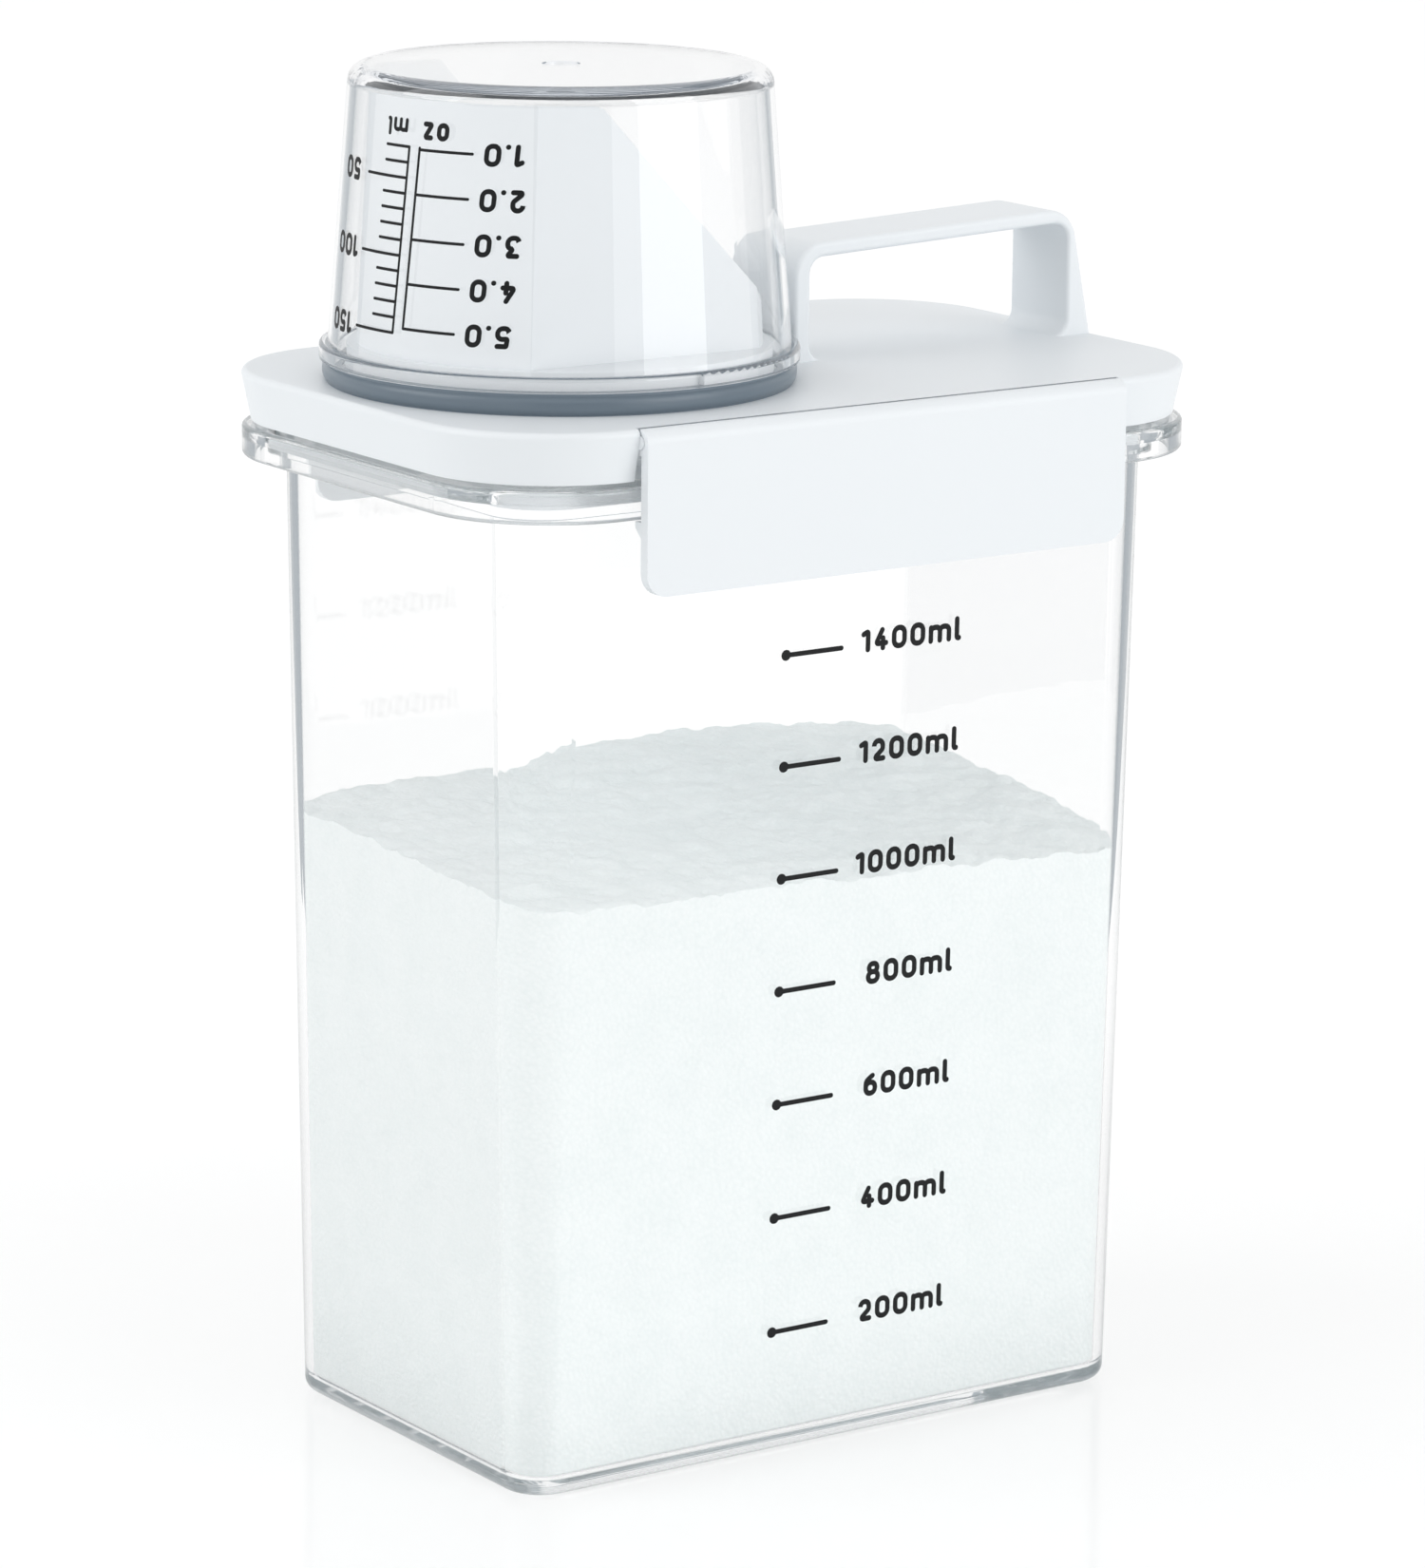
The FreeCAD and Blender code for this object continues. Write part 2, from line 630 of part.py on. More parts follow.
def make_handle():
    """The carry handle: a strap arch on two legs, tenoned into the lid."""
    body = new_body("carry_handle")
    left_inside = "(handle_left + handle_leg)"
    under_left = "(handle_top_left - handle_strap)"
    under_right = "(handle_top_right - handle_strap)"
    arch = new_sketch(body, "handle_arch", plane="XZ_Plane")
    outline(arch, [
        ("handle_left", "lid_top"),
        (f"{left_inside} + handle_flare", "lid_top", "handle_flare", -1, False),
        (left_inside, "lid_top + handle_flare"),
        (left_inside, under_left),
        ("handle_right", under_right),
        ("handle_right", "lid_top + handle_flare", "handle_flare", -1, False),
        ("handle_right - handle_flare", "lid_top"),
        ("handle_foot", "lid_top"),
        ("handle_shoulder", "handle_top_right"),
        ("handle_left", "handle_top_left")])
    strap = extrude(body, "Pad", arch, "handle_width", both_ways=True)

    def corner_at(*places):
        def chosen(edge):
            box = edge.BoundBox
            near = any(
                abs(box.XMin - value_of(x)) < 0.01 and abs(box.ZMin - value_of(z)) < 0.01
                for x, z in places)
            return near and box.YLength > 1
        return chosen

    outer = corner_at(("handle_left", "handle_top_left"), ("handle_shoulder", "handle_top_right"))
    strap = round_edges(body, strap, "handle_outer_round", outer)
    inner = corner_at((left_inside, under_left), ("handle_right", under_right))
    strap = round_edges(body, strap, "handle_inner_round", inner)

    def side_edge(edge):
        box = edge.BoundBox
        return box.YLength < 0.01 and box.ZMax > value_of("lid_top") + 0.01

    round_edges(body, strap, "handle_edge_round", side_edge)
    tenons = new_sketch(body, "handle_tenons", offset="lid_top")
    tenon_outlines(tenons)
    extrude(body, "Pad", tenons, "lid_plate", backwards=True)
    return body


def make_spout():
    """The pouring spout: collar on the lid, neck snapped through it, and a slanted lip."""
    body = new_body("pour_spout", place_x="cup_offset")
    collar_top = "(lid_top + ring_height)"
    under_plate = "(lid_top - lid_plate)"
    collar = new_sketch(body, "collar", offset="lid_top")
    ring_circle(collar, "collar_radius")
    extrude(body, "Pad", collar, "ring_height")
    step = new_sketch(body, "rim_ring", offset=collar_top)
    ring_circle(step, "rim_ring_radius")
    extrude(body, "Pad", step, "rim_ring_height")
    neck = new_sketch(body, "neck", offset="lid_top")
    flatted_circle(neck, "neck_radius", "neck_flat")
    extrude(body, "Pad", neck, "lid_plate", backwards=True)
    rib = new_sketch(body, "snap_rib_outline", offset=under_plate)
    flatted_circle(rib, "neck_radius + snap_rib", "neck_flat + snap_rib")
    extrude(body, "Pad", rib, "snap_height", backwards=True)

    low = new_sketch(body, "spout_low_outline", offset=collar_top)
    flatted_circle(low, "spout_bottom_radius", "spout_bottom_flat")
    high = new_sketch(body, "spout_high_outline", offset="spout_top")
    flatted_circle(high, "spout_top_radius", "spout_top_flat")
    loft(body, "AdditiveLoft", low, high)
    low_inside = new_sketch(body, "spout_low_inside", offset=collar_top)
    flatted_circle(
        low_inside, "spout_bottom_radius - spout_wall", "spout_bottom_flat - spout_wall")
    high_inside = new_sketch(body, "spout_high_inside", offset="spout_top")
    flatted_circle(
        high_inside, "spout_top_radius - spout_wall", "spout_top_flat - spout_wall")
    loft(body, "SubtractiveLoft", low_inside, high_inside)
    passage = new_sketch(body, "passage", offset=collar_top)
    flatted_circle(passage, "neck_radius - spout_wall", "neck_flat - spout_wall")
    extrude(body, "Pocket", passage, "ring_height + lid_plate + snap_height")

    slant = new_sketch(body, "slanted_cut", plane="XZ_Plane")
    outline(slant, [
        ("spout_cut_start", "spout_top + spout_wall"),
        ("spout_cut_start", "spout_top"),
        ("spout_cut_end", "spout_low"),
        ("collar_radius * 2", "spout_low"),
        ("collar_radius * 2", "spout_top + spout_wall")])
    extrude(body, "Pocket", slant, "collar_radius * 2", both_ways=True)

    lug = new_sketch(body, "lug", offset=collar_top)
    first = "((lug_direction - lug_half_angle) * 1 deg)"
    last = "((lug_direction + lug_half_angle) * 1 deg)"
    root = "(rim_ring_radius - spout_wall / 2)"
    outline(lug, [
        (f"{root} * cos({first})", f"{root} * sin({first})"),
        (f"lug_radius * cos({first})", f"lug_radius * sin({first})", "lug_radius", 1, False),
        (f"lug_radius * cos({last})", f"lug_radius * sin({last})"),
        (f"{root} * cos({last})", f"{root} * sin({last})", root, -1, False)])
    lug_pad = extrude(body, "Pad", lug, "lug_height")
    lugs = body.newObject("PartDesign::PolarPattern", "lugs")
    lugs.Originals = [lug_pad]
    lugs.Axis = (lug, ["N_Axis"])
    lugs.Angle = 360
    lugs.Occurrences = 2
    body.Tip = lugs
    doc.recompute()
    return body


def make_ring():
    """The grey silicone ring that the cup's rim rests on."""
    body = new_body("spout_seal_ring", place_x="cup_offset")
    ring = new_sketch(body, "ring_outline", offset="lid_top")
    ring_circle(ring, "ring_radius")
    ring_circle(ring, "collar_radius")
    pad = extrude(body, "Pad", ring, "ring_height")
    outer = value_of("ring_radius")
    round_edges(body, pad, "ring_round", lambda edge: edge.BoundBox.XMax > outer - 0.01)
    return body


def make_cup():
    """The clear measuring cup, upside down over the spout."""
    body = new_body("measuring_cup", place_x="cup_offset")
    bottom = "(lid_top + ring_height + cup_gap)"
    lip_top = f"({bottom} + cup_lip_height)"
    roof = "(cup_top - cup_roof)"
    narrowing = f"((cup_rim_radius - cup_top_radius) / (cup_top - {bottom}))"
    section = new_sketch(body, "cup_section", plane="XZ_Plane")
    outline(section, [
        ("cup_rim_radius - cup_wall", bottom),
        ("cup_lip_radius", bottom),
        ("cup_lip_radius", lip_top),
        (f"cup_rim_radius - {narrowing} * cup_lip_height", lip_top),
        ("cup_top_radius", "cup_top"),
        ("gate_radius", "cup_top"),
        ("gate_radius", "cup_top - gate_depth"),
        ("cup_top * 0", "cup_top - gate_depth"),
        ("cup_top * 0", roof),
        (f"cup_top_radius + {narrowing} * cup_roof - cup_wall", roof)])
    cup = body.newObject("PartDesign::Revolution", "cup_revolution")
    cup.Profile = section
    cup.ReferenceAxis = (section, ["V_Axis"])
    cup.Angle = 360
    doc.recompute()

    def circle_at(radius, height):
        def chosen(edge):
            return is_level(edge, height) and abs(edge.BoundBox.XMax - value_of(radius)) < 0.01
        return chosen

    cup = round_edges(body, cup, "cup_round", circle_at("cup_top_radius", "cup_top"))
    inner_top = circle_at(f"cup_top_radius + {narrowing} * cup_roof - cup_wall", roof)
    cup = round_edges(body, cup, "cup_inner_round", inner_top)
    lip_edge = circle_at("cup_lip_radius", lip_top)
    round_edges(body, cup, "cup_lip_round", lip_edge)
    return body


bodies = [
    make_container(),
    make_powder(),
    make_lid(),
    make_gasket(),
    make_latch("front_latch", 0.0),
    make_latch("rear_latch", 180.0),
    make_handle(),
    make_spout(),
    make_ring(),
    make_cup(),
]
doc.recompute()
for part in doc.Objects:
    if "Invalid" in part.State or "Error" in part.State:
        raise RuntimeError(f"{part.Name} did not build: {part.State}")
os.makedirs("parts", exist_ok=True)
for body in bodies:
    if body.Shape.isNull() or not body.Shape.isValid() or len(body.Shape.Solids) != 1:
        raise RuntimeError(f"{body.Label} is not one sound solid")
    body.Shape.exportStep(f"parts/{body.Label}.step")
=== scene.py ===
"""Looks of a detergent dispenser bottle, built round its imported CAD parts.

Laid out as a Blender add-on and run as a script. Metres, +Z up, -Y towards the printed scale.
"""
import math

import bmesh
import bpy
from bpy.props import FloatProperty, FloatVectorProperty, IntProperty, PointerProperty
from mathutils import Matrix, Vector, noise


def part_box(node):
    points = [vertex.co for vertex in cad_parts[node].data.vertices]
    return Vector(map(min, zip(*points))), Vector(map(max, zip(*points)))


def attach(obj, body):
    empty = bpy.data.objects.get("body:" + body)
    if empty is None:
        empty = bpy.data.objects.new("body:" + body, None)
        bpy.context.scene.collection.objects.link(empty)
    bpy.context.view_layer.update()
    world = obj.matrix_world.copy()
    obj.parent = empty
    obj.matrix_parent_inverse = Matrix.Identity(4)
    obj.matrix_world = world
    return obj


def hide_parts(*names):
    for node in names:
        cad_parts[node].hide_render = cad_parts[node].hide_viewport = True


bl_info = {
    "name": "Detergent dispenser bottle",
    "version": (1, 0, 0),
    "blender": (4, 5, 0),
    "location": "View3D > Sidebar > Bottle",
    "description": "Dresses the bottle's CAD parts with plastics, powder, printed scales and a studio",
    "category": "Object",
}

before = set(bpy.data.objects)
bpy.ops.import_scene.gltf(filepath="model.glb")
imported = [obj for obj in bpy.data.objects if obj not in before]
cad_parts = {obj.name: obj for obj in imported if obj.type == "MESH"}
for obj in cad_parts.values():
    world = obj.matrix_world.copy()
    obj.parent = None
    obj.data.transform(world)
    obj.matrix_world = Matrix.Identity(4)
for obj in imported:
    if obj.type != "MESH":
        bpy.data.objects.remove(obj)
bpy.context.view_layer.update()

MM = 0.001

# Sizes of the CAD parts that their boxes don't give.
TUB_SLOPE = math.tan(math.radians(0.87))
TUB_WALL = 1.8 * MM
TUB_CORNER = 8.0 * MM
TUB_FLOOR_ROUND = 1.5 * MM
CUP_LIP_REACH = 1.3 * MM
CUP_NARROWING = 3.9 * MM

# Sizes worked out from the CAD parts' boxes.
powder_low, powder_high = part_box("detergent_powder")
cup_low, cup_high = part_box("measuring_cup")
BASE_HALF_X = powder_high.x - powder_high.z * TUB_SLOPE + TUB_WALL
BASE_HALF_Y = powder_high.y - powder_high.z * TUB_SLOPE + TUB_WALL
CUP_CENTRE_X = (cup_low.x + cup_high.x) / 2
CUP_RIM_RADIUS = (cup_high.x - cup_low.x) / 2 - CUP_LIP_REACH
CUP_TAPER = CUP_NARROWING / (cup_high.z - cup_low.z)

# The seal ring's section: its width, how far its bead draws in above and below, the height of its foot,
# and how far it presses into the cup's rim, so that its grey shows through the clear lip.
SEAL_BAND = 3.8 * MM
SEAL_TUCK = 0.55 * MM
SEAL_FOOT = 0.2 * MM
SEAL_PRESS = 0.02 * MM
SEAL_STEPS = 16
SEAL_TURNS = 240

# Where round the cup its millilitre line stands at the top, and how far the scales lean round it per metre.
CUP_SCALE_ANGLE = math.radians(-165.1)
CUP_SCALE_LEAN = math.radians(78.0)

# Volumes on the cup's scales: the first, the last and each step in millilitres, the steps that have
# figures, and the last in ounces.
CUP_FIRST_ML = 30
CUP_LAST_ML = 150
CUP_STEP_ML = 10
CUP_FIGURE_ML = 50
CUP_LAST_OZ = 5

# On the cup's scales: where the unit names end along the wall and above the first mark, the gap from the
# ounce marks to their figures, and how far the first ounce mark is below the first millilitre mark.
CUP_ML_END = -0.7 * MM
CUP_ML_RISE = 4.7 * MM
CUP_OZ_END = 8.0 * MM
CUP_OZ_RISE = 4.5 * MM
CUP_OZ_FIGURE_GAP = 2.1 * MM
CUP_OZ_DROP = 0.27 * MM

# On the tub's scale: the volume of one step in millilitres and in cubic metres, and the length of a dot.
TUB_STEP_ML = 200
TUB_STEP = 0.0002
TUB_DOT_LENGTH = 0.05 * MM

# Net of the powder's top: columns along the tub, and rows across it, with those that turn its corners.
HEAP_COLUMNS = 190
HEAP_STRAIGHT_ROWS = 92
HEAP_CORNER_ROWS = 14

# How the powder lies: its fall along the tub, how its slope to the rear bends, its crown's height, place
# and reach, and what its ends lose.
HEAP_FALL = 0.034
HEAP_BEND = 0.7
HEAP_CROWN = 2.1 * MM
HEAP_CROWN_PLACE = 21 * MM
HEAP_CROWN_REACH = 28 * MM
HEAP_END_LOSS = 1.0 * MM

# Heights of the rings of points round the powder's sides, as shares of its own height there.
HEAP_SIDE_SHARES = (0, 0.25, 0.5, 0.75)

# Lumps of the powder's top: their widths in millimetres, and their shares of the clump height. The clumps
# come in layers: how fast these weaken, how much finer each is, and how many there are.
SWELL_WIDTH = 21
SWELL_SHARE = 0.8
CLUMP_WIDTH = 7
CLUMP_SHARE = 0.7
CLUMP_LAYERS = (0.75, 2.0, 3)
GRAIN_WIDTH = 1.9
GRAIN_SHARE = 0.16
FINE_GRAIN_WIDTH = 1.1
FINE_GRAIN_SHARE = 0.7

# The printed layer stands this far off the plastic, and is this thick.
PRINT_LIFT = 0.02 * MM
PRINT_THICKNESS = 0.03 * MM

# Gap between two printed signs in stroke widths, and how finely the strokes of signs and lines are cut.
SIGN_GAP = 1.75
SIGN_STEP = 0.35 * MM
LINE_STEP = 0.5 * MM

# How often light may turn inside the clear plastic, which guides it along its walls and its base.
MOST_BOUNCES = 1000

# The photograph's viewing angle in degrees: round from the front, and up.
VIEW_AZIMUTH = -34.627
VIEW_ELEVATION = 12.93

# Where the soft lights stand, in degrees round from the front and up, their distance from the middle of
# the bottle, and their width.
LIGHT_PLACES = {"front_light": (25, 17), "left_light": (-108, 31), "rear_light": (160, 28)}
LIGHT_DISTANCE = 1.8
LIGHT_WIDTH = 1.2
BOTTLE_MIDDLE = Vector((0, 0, 0.11))

# How far the side cards stand to either side of the bottle, and between which degrees round from the front
# the room card stands.
SIDE_CARD_ASIDE = 0.34
ROOM_CARD_ENDS = (-48, -8)

# Strokes of the printed signs, in a box one letter height tall. Each stroke says whether it closes,
# and gives its corners as (across, up, rounding).
SIGNS = {
    "0": ((True, ((0, 0, .32), (.7, 0, .32), (.7, 1, .32), (0, 1, .32))),),
    "1": ((False, ((0, .86, 0), (.3, 1, .06), (.3, 0, 0))),),
    "2": ((False, ((.02, .72, 0), (.02, 1, .28), (.6, 1, .28), (.6, .52, .22), (0, 0, .08), (.64, 0, 0))),),
    "3": ((False, ((.02, 1, 0), (.58, 1, .06), (.26, .6, .06), (.6, .6, .26), (.6, 0, .28), (0, 0, .2),
                   (0, .14, 0))),),
    "4": ((False, ((.4, 1, 0), (0, .26, .08), (.66, .26, 0))), (False, ((.46, .54, 0), (.46, 0, 0)))),
    "5": ((False, ((.58, 1, 0), (.06, 1, .06), (.04, .58, .06), (.62, .62, .28), (.62, 0, .28), (0, 0, .2),
                   (0, .12, 0))),),
    "6": ((True, ((0, 0, .28), (.62, 0, .28), (.62, .62, .28), (0, .62, .28))),
          (False, ((0, .34, 0), (0, .72, .3), (.44, 1, 0)))),
    "8": ((True, ((0, 0, .26), (.64, 0, .26), (.64, .54, .26), (0, .54, .26))),
          (True, ((.05, .54, .22), (.59, .54, .22), (.59, 1, .22), (.05, 1, .22)))),
    "m": ((False, ((0, 0, 0), (0, .74, 0))),
          (False, ((0, .3, 0), (0, .74, .24), (.61, .74, .24), (.61, 0, 0))),
          (False, ((.61, .3, 0), (.61, .74, .24), (1.22, .74, .24), (1.22, 0, 0)))),
    "l": ((False, ((0, 1.06, 0), (0, 0, .1), (.14, 0, 0))),),
    "o": ((True, ((0, 0, .25), (.52, 0, .25), (.52, .74, .25), (0, .74, .25))),),
    "z": ((False, ((.02, .74, 0), (.44, .74, .06), (0, 0, .06), (.46, 0, 0))),),
    ".": ((False, ((.04, .02, 0), (.06, .02, 0))),),
}


def linear(hex_colour):
    """Turn an sRGB hex colour into linear red, green and blue."""
    parts = [int(hex_colour[start:start + 2], 16) / 255 for start in (1, 3, 5)]
    return tuple(part / 12.92 if part <= 0.04045 else ((part + 0.055) / 1.055) ** 2.4 for part in parts)


def colour_property(name, description, hex_colour):
    """A colour that a user can change, from its sRGB hex value."""
    return FloatVectorProperty(
        name=name, description=description, subtype="COLOR", size=3, min=0, max=1,
        default=linear(hex_colour))


def length_property(name, description, millimetres):
    """A length that a user can change, from millimetres."""
    return FloatProperty(
        name=name, description=description, subtype="DISTANCE", unit="LENGTH", precision=5,
        default=millimetres * MM)


class PlasticSettings(bpy.types.PropertyGroup):
    """Finishes of the moulded parts."""

    tub_tint: colour_property("Tub tint", "Colour that light takes on deep in the tub's plastic", "#B4C2C6")
    tub_density: FloatProperty(
        name="Tub density", description="How fast the tub's plastic takes light, per metre", default=1.5)
    cup_tint: colour_property("Cup tint", "Colour that light takes on deep in the cup's plastic", "#A3B2C2")
    cup_density: FloatProperty(
        name="Cup density", description="How fast the cup's plastic takes light, per metre", default=8.0)
    # Painted shade: the clear parts are coloured darker where they turn from the eye, in this colour and as
    # sharp as the two settings below, standing in for the dark edges their surroundings give them.
    clear_edge: colour_property(
        "Clear edges", "Colour of the clear parts where they turn from the eye", "#3A464E")
    tub_sharpness: FloatProperty(
        name="Tub edge sharpness", description="How close to the tub's outline its edge colour keeps",
        default=3.0)
    cup_sharpness: FloatProperty(
        name="Cup edge sharpness", description="How close to the cup's outline its edge colour keeps",
        default=13.0)
    white: colour_property("White", "Colour of the lid, latches, handle and spout", "#E9EDF0")
    ring: colour_property("Ring", "Colour of the seal ring under the cup", "#6A7782")
    gasket: colour_property("Gasket", "Colour of the seal inside the lid", "#DDE2E4")
    white_grain: length_property("White grain", "Grain of the moulded white surface", 0.7)
    silicone_grain: length_property("Silicone grain", "Grain of the silicone's surface", 0.5)


class PowderSettings(bpy.types.PropertyGroup):
    """Shape and finish of the washing powder."""

    pale: colour_property("Powder", "Main colour of the powder", "#F4F9F9")
    # The grain shade is mixed in both as painted shade in the gaps between the beads and as random darker
    # drifts of powder.
    shade: colour_property("Grain shade", "Colour of its darker grains", "#E7EFEF")
    grain: length_property("Grain", "Size of one grain", 0.8)
    clump: length_property("Clump height", "How far clumps stand out of the heap", 1.1)
    wall_gap: length_property("Wall gap", "Air between the powder and the wall", 0.15)
    front_level: length_property("Front level", "Height of the powder at the front wall", 101.6)
    rear_level: length_property("Rear level", "Height of the powder at the rear wall", 109.3)


class PrintSettings(bpy.types.PropertyGroup):
    """Sizes and colour of the printed scales."""

    ink: colour_property("Ink", "Colour of the print", "#0F1113")
    tub_letter: length_property("Tub letters", "Height of the tub's figures", 4.15)
    tub_weight: length_property("Tub stroke", "Stroke width of the tub's figures", 0.98)
    tub_line: length_property("Tub line", "Length of the tub's mark lines", 11.6)
    tub_line_weight: length_property("Tub line width", "Width of the tub's mark lines", 0.88)
    tub_dot: length_property("Tub dot", "Width of the dot that starts each line", 1.95)
    tub_start: length_property("Tub scale start", "Place of the dots along the front", -13.6)
    tub_text_end: length_property("Tub figures end", "From the dots to the right end of the figures", 37.1)
    tub_text_rise: length_property("Tub figures rise", "How far the figures' middle is above the line", 0.7)
    tub_zero: length_property("Tub zero", "Height at which the tub's scale starts to count", 1.07)
    tub_steps: IntProperty(
        name="Tub steps", description="Number of marks on the tub, 200 ml apart", default=7)
    cup_letter: length_property("Cup letters", "Height of the cup's figures", 3.85)
    cup_weight: length_property("Cup stroke", "Stroke width of the cup's figures", 0.86)
    cup_ml_letter: length_property("Cup ml letters", "Height of the letters over the millilitre scale", 3.0)
    cup_ml_weight: length_property("Cup ml stroke", "Stroke width of those letters", 0.7)
    cup_figure_gap: length_property(
        "Cup ml figures", "From the long marks to the middle of their figures", 6.2)
    cup_line_weight: length_property("Cup line width", "Width of the cup's lines", 0.5)
    cup_line_gap: length_property("Cup line gap", "From the millilitre line to the ounce line", 2.3)
    cup_first: length_property("Cup first mark", "Height of the 30 ml mark above the cup's rim", 39.2)
    cup_ml_step: length_property("Cup ml step", "Height of 10 ml", 2.597)
    cup_oz_step: length_property("Cup oz step", "Height of one ounce", 7.49)
    cup_short_mark: length_property("Cup short mark", "Length of the marks without figures", 5.5)
    cup_long_mark: length_property("Cup long mark", "Length of the marks with figures", 10.4)


class StageSettings(bpy.types.PropertyGroup):
    """Studio round the bottle."""

    floor: colour_property("Floor", "Colour of the floor", "#F4F5F5")
    sky_strength: FloatProperty(
        name="Sky", description="Strength of the even light all round", default=0.72)
    front_power: FloatProperty(
        name="Front light", description="Power of the soft front light", unit="POWER", default=10.0)
    left_power: FloatProperty(
        name="Left light", description="Power of the soft left light", unit="POWER", default=9.4)
    rear_power: FloatProperty(
        name="Rear light", description="Power of the soft rear light", unit="POWER", default=1.0)
    side_card: colour_property(
        "Side cards", "Colour of the cards that draw the clear walls' upright edges", "#A8B0B6")
    top_card: colour_property("Top card", "Colour of the card that draws the cup's level edges", "#2A3036")
    room_card: colour_property("Room card", "Colour of the unlit room that the gloss mirrors", "#3A4046")
    lens: FloatProperty(name="Lens", description="Focal length on a 36 mm wide frame", default=164.3)


def add_node(tree, kind, inputs=None, **settings):
    """Add a node with its settings, and set or link its inputs."""
    node = tree.nodes.new(kind)
    for name, value in settings.items():
        setattr(node, name, value)
    for name, value in (inputs or {}).items():
        if isinstance(value, bpy.types.NodeSocket):
            tree.links.new(value, node.inputs[name])
        else:
            node.inputs[name].default_value = value
    return node


def new_material(name):
    """An empty node material with its output."""
    material = bpy.data.materials.new(name)
    material.use_nodes = True
    material.node_tree.nodes.clear()
    output = add_node(material.node_tree, "ShaderNodeOutputMaterial")
    return material, material.node_tree, output


def rgba(colour):
    """A colour with full opacity, for a node's socket."""
    return (*colour[:3], 1.0)


def pattern_scale(size):
    """The texture scale that gives a pattern one repeat in a size in metres."""
    return 1.0 / size


def clear_styrene(name, tint, density, sharpness):
    """Clear styrene plastic, moulded in polished steel."""
    # Sharp and colourless through its thin walls, with grey-blue edges where light runs along the wall, and
    # a painted grey shade where the walls turn from the eye.
    settings = bpy.context.scene.bottle_plastic
    material, tree, output = new_material(name)
    # Painted shade: the base colour turns grey where the wall faces away from the eye.
    slant = add_node(tree, "ShaderNodeLayerWeight", {"Blend": 0.5})
    edge = add_node(tree, "ShaderNodeMath", {0: slant.outputs["Facing"], 1: sharpness}, operation="POWER")
    colour = add_node(tree, "ShaderNodeMix", {
        "Factor": edge.outputs["Value"], 6: (1, 1, 1, 1), 7: rgba(settings.clear_edge)}, data_type="RGBA")
    surface = add_node(tree, "ShaderNodeBsdfPrincipled", {
        "Base Color": colour.outputs[2], "Roughness": 0.0, "IOR": 1.57, "Transmission Weight": 1.0})
    inside = add_node(tree, "ShaderNodeVolumeAbsorption", {
        "Color": rgba(tint), "Density": density})
    # Lamps shine through the walls on to what stands inside.
    passing = add_node(tree, "ShaderNodeBsdfTransparent", {"Color": (1, 1, 1, 1)})
    path = add_node(tree, "ShaderNodeLightPath")
    lighting = add_node(tree, "ShaderNodeMath", {
        0: path.outputs["Is Shadow Ray"], 1: path.outputs["Is Diffuse Ray"]}, operation="MAXIMUM")
    either = add_node(tree, "ShaderNodeMixShader", {
        0: lighting.outputs["Value"], 1: surface.outputs["BSDF"], 2: passing.outputs["BSDF"]})
    tree.links.new(either.outputs["Shader"], output.inputs["Surface"])
    tree.links.new(inside.outputs["Volume"], output.inputs["Volume"])
    return material


def white_polypropylene():
    """White polypropylene, moulded in finely spark-eroded steel."""
    # Cool white with a broad soft sheen and a faint even grain.
    settings = bpy.context.scene.bottle_plastic
    material, tree, output = new_material("white_polypropylene")
    place = add_node(tree, "ShaderNodeTexCoord").outputs["Object"]
    grain = add_node(tree, "ShaderNodeTexNoise", {
        "Vector": place, "Scale": pattern_scale(settings.white_grain), "Detail": 3.0})
    cloud = add_node(tree, "ShaderNodeTexNoise", {
        "Vector": place, "Scale": pattern_scale(30 * MM), "Detail": 2.0})
    roughness = add_node(tree, "ShaderNodeMapRange", {
        "Value": cloud.outputs["Fac"], "To Min": 0.36, "To Max": 0.46})
    bump = add_node(tree, "ShaderNodeBump", {
        "Height": grain.outputs["Fac"], "Strength": 0.12, "Distance": 0.05 * MM})
    surface = add_node(tree, "ShaderNodeBsdfPrincipled", {
        "Base Color": rgba(settings.white), "Roughness": roughness.outputs["Result"], "IOR": 1.49,
        "Normal": bump.outputs["Normal"]})
    tree.links.new(surface.outputs["BSDF"], output.inputs["Surface"])
    return material


def blue_grey_silicone():
    """Blue-grey silicone rubber, pressed in a mould."""
    # Soft satin band with a faint skin texture.
    settings = bpy.context.scene.bottle_plastic
    material, tree, output = new_material("blue_grey_silicone")
    place = add_node(tree, "ShaderNodeTexCoord").outputs["Object"]
    skin = add_node(tree, "ShaderNodeTexNoise", {
        "Vector": place, "Scale": pattern_scale(settings.silicone_grain), "Detail": 4.0})
    bump = add_node(tree, "ShaderNodeBump", {
        "Height": skin.outputs["Fac"], "Strength": 0.2, "Distance": 0.05 * MM})
    surface = add_node(tree, "ShaderNodeBsdfPrincipled", {
        "Base Color": rgba(settings.ring), "Roughness": 0.28, "IOR": 1.41,
        "Normal": bump.outputs["Normal"]})
    tree.links.new(surface.outputs["BSDF"], output.inputs["Surface"])
    return material


def milky_silicone():
    """Uncoloured silicone rubber, milky in the mass."""
    # A pale dull strip, lit through its depth.
    settings = bpy.context.scene.bottle_plastic
    material, tree, output = new_material("milky_silicone")
    place = add_node(tree, "ShaderNodeTexCoord").outputs["Object"]
    skin = add_node(tree, "ShaderNodeTexNoise", {
        "Vector": place, "Scale": pattern_scale(settings.silicone_grain), "Detail": 3.0})
    bump = add_node(tree, "ShaderNodeBump", {
        "Height": skin.outputs["Fac"], "Strength": 0.15, "Distance": 0.05 * MM})
    surface = add_node(tree, "ShaderNodeBsdfPrincipled", {
        "Base Color": rgba(settings.gasket), "Roughness": 0.55, "IOR": 1.41,
        "Normal": bump.outputs["Normal"]})
    tree.links.new(surface.outputs["BSDF"], output.inputs["Surface"])
    return material


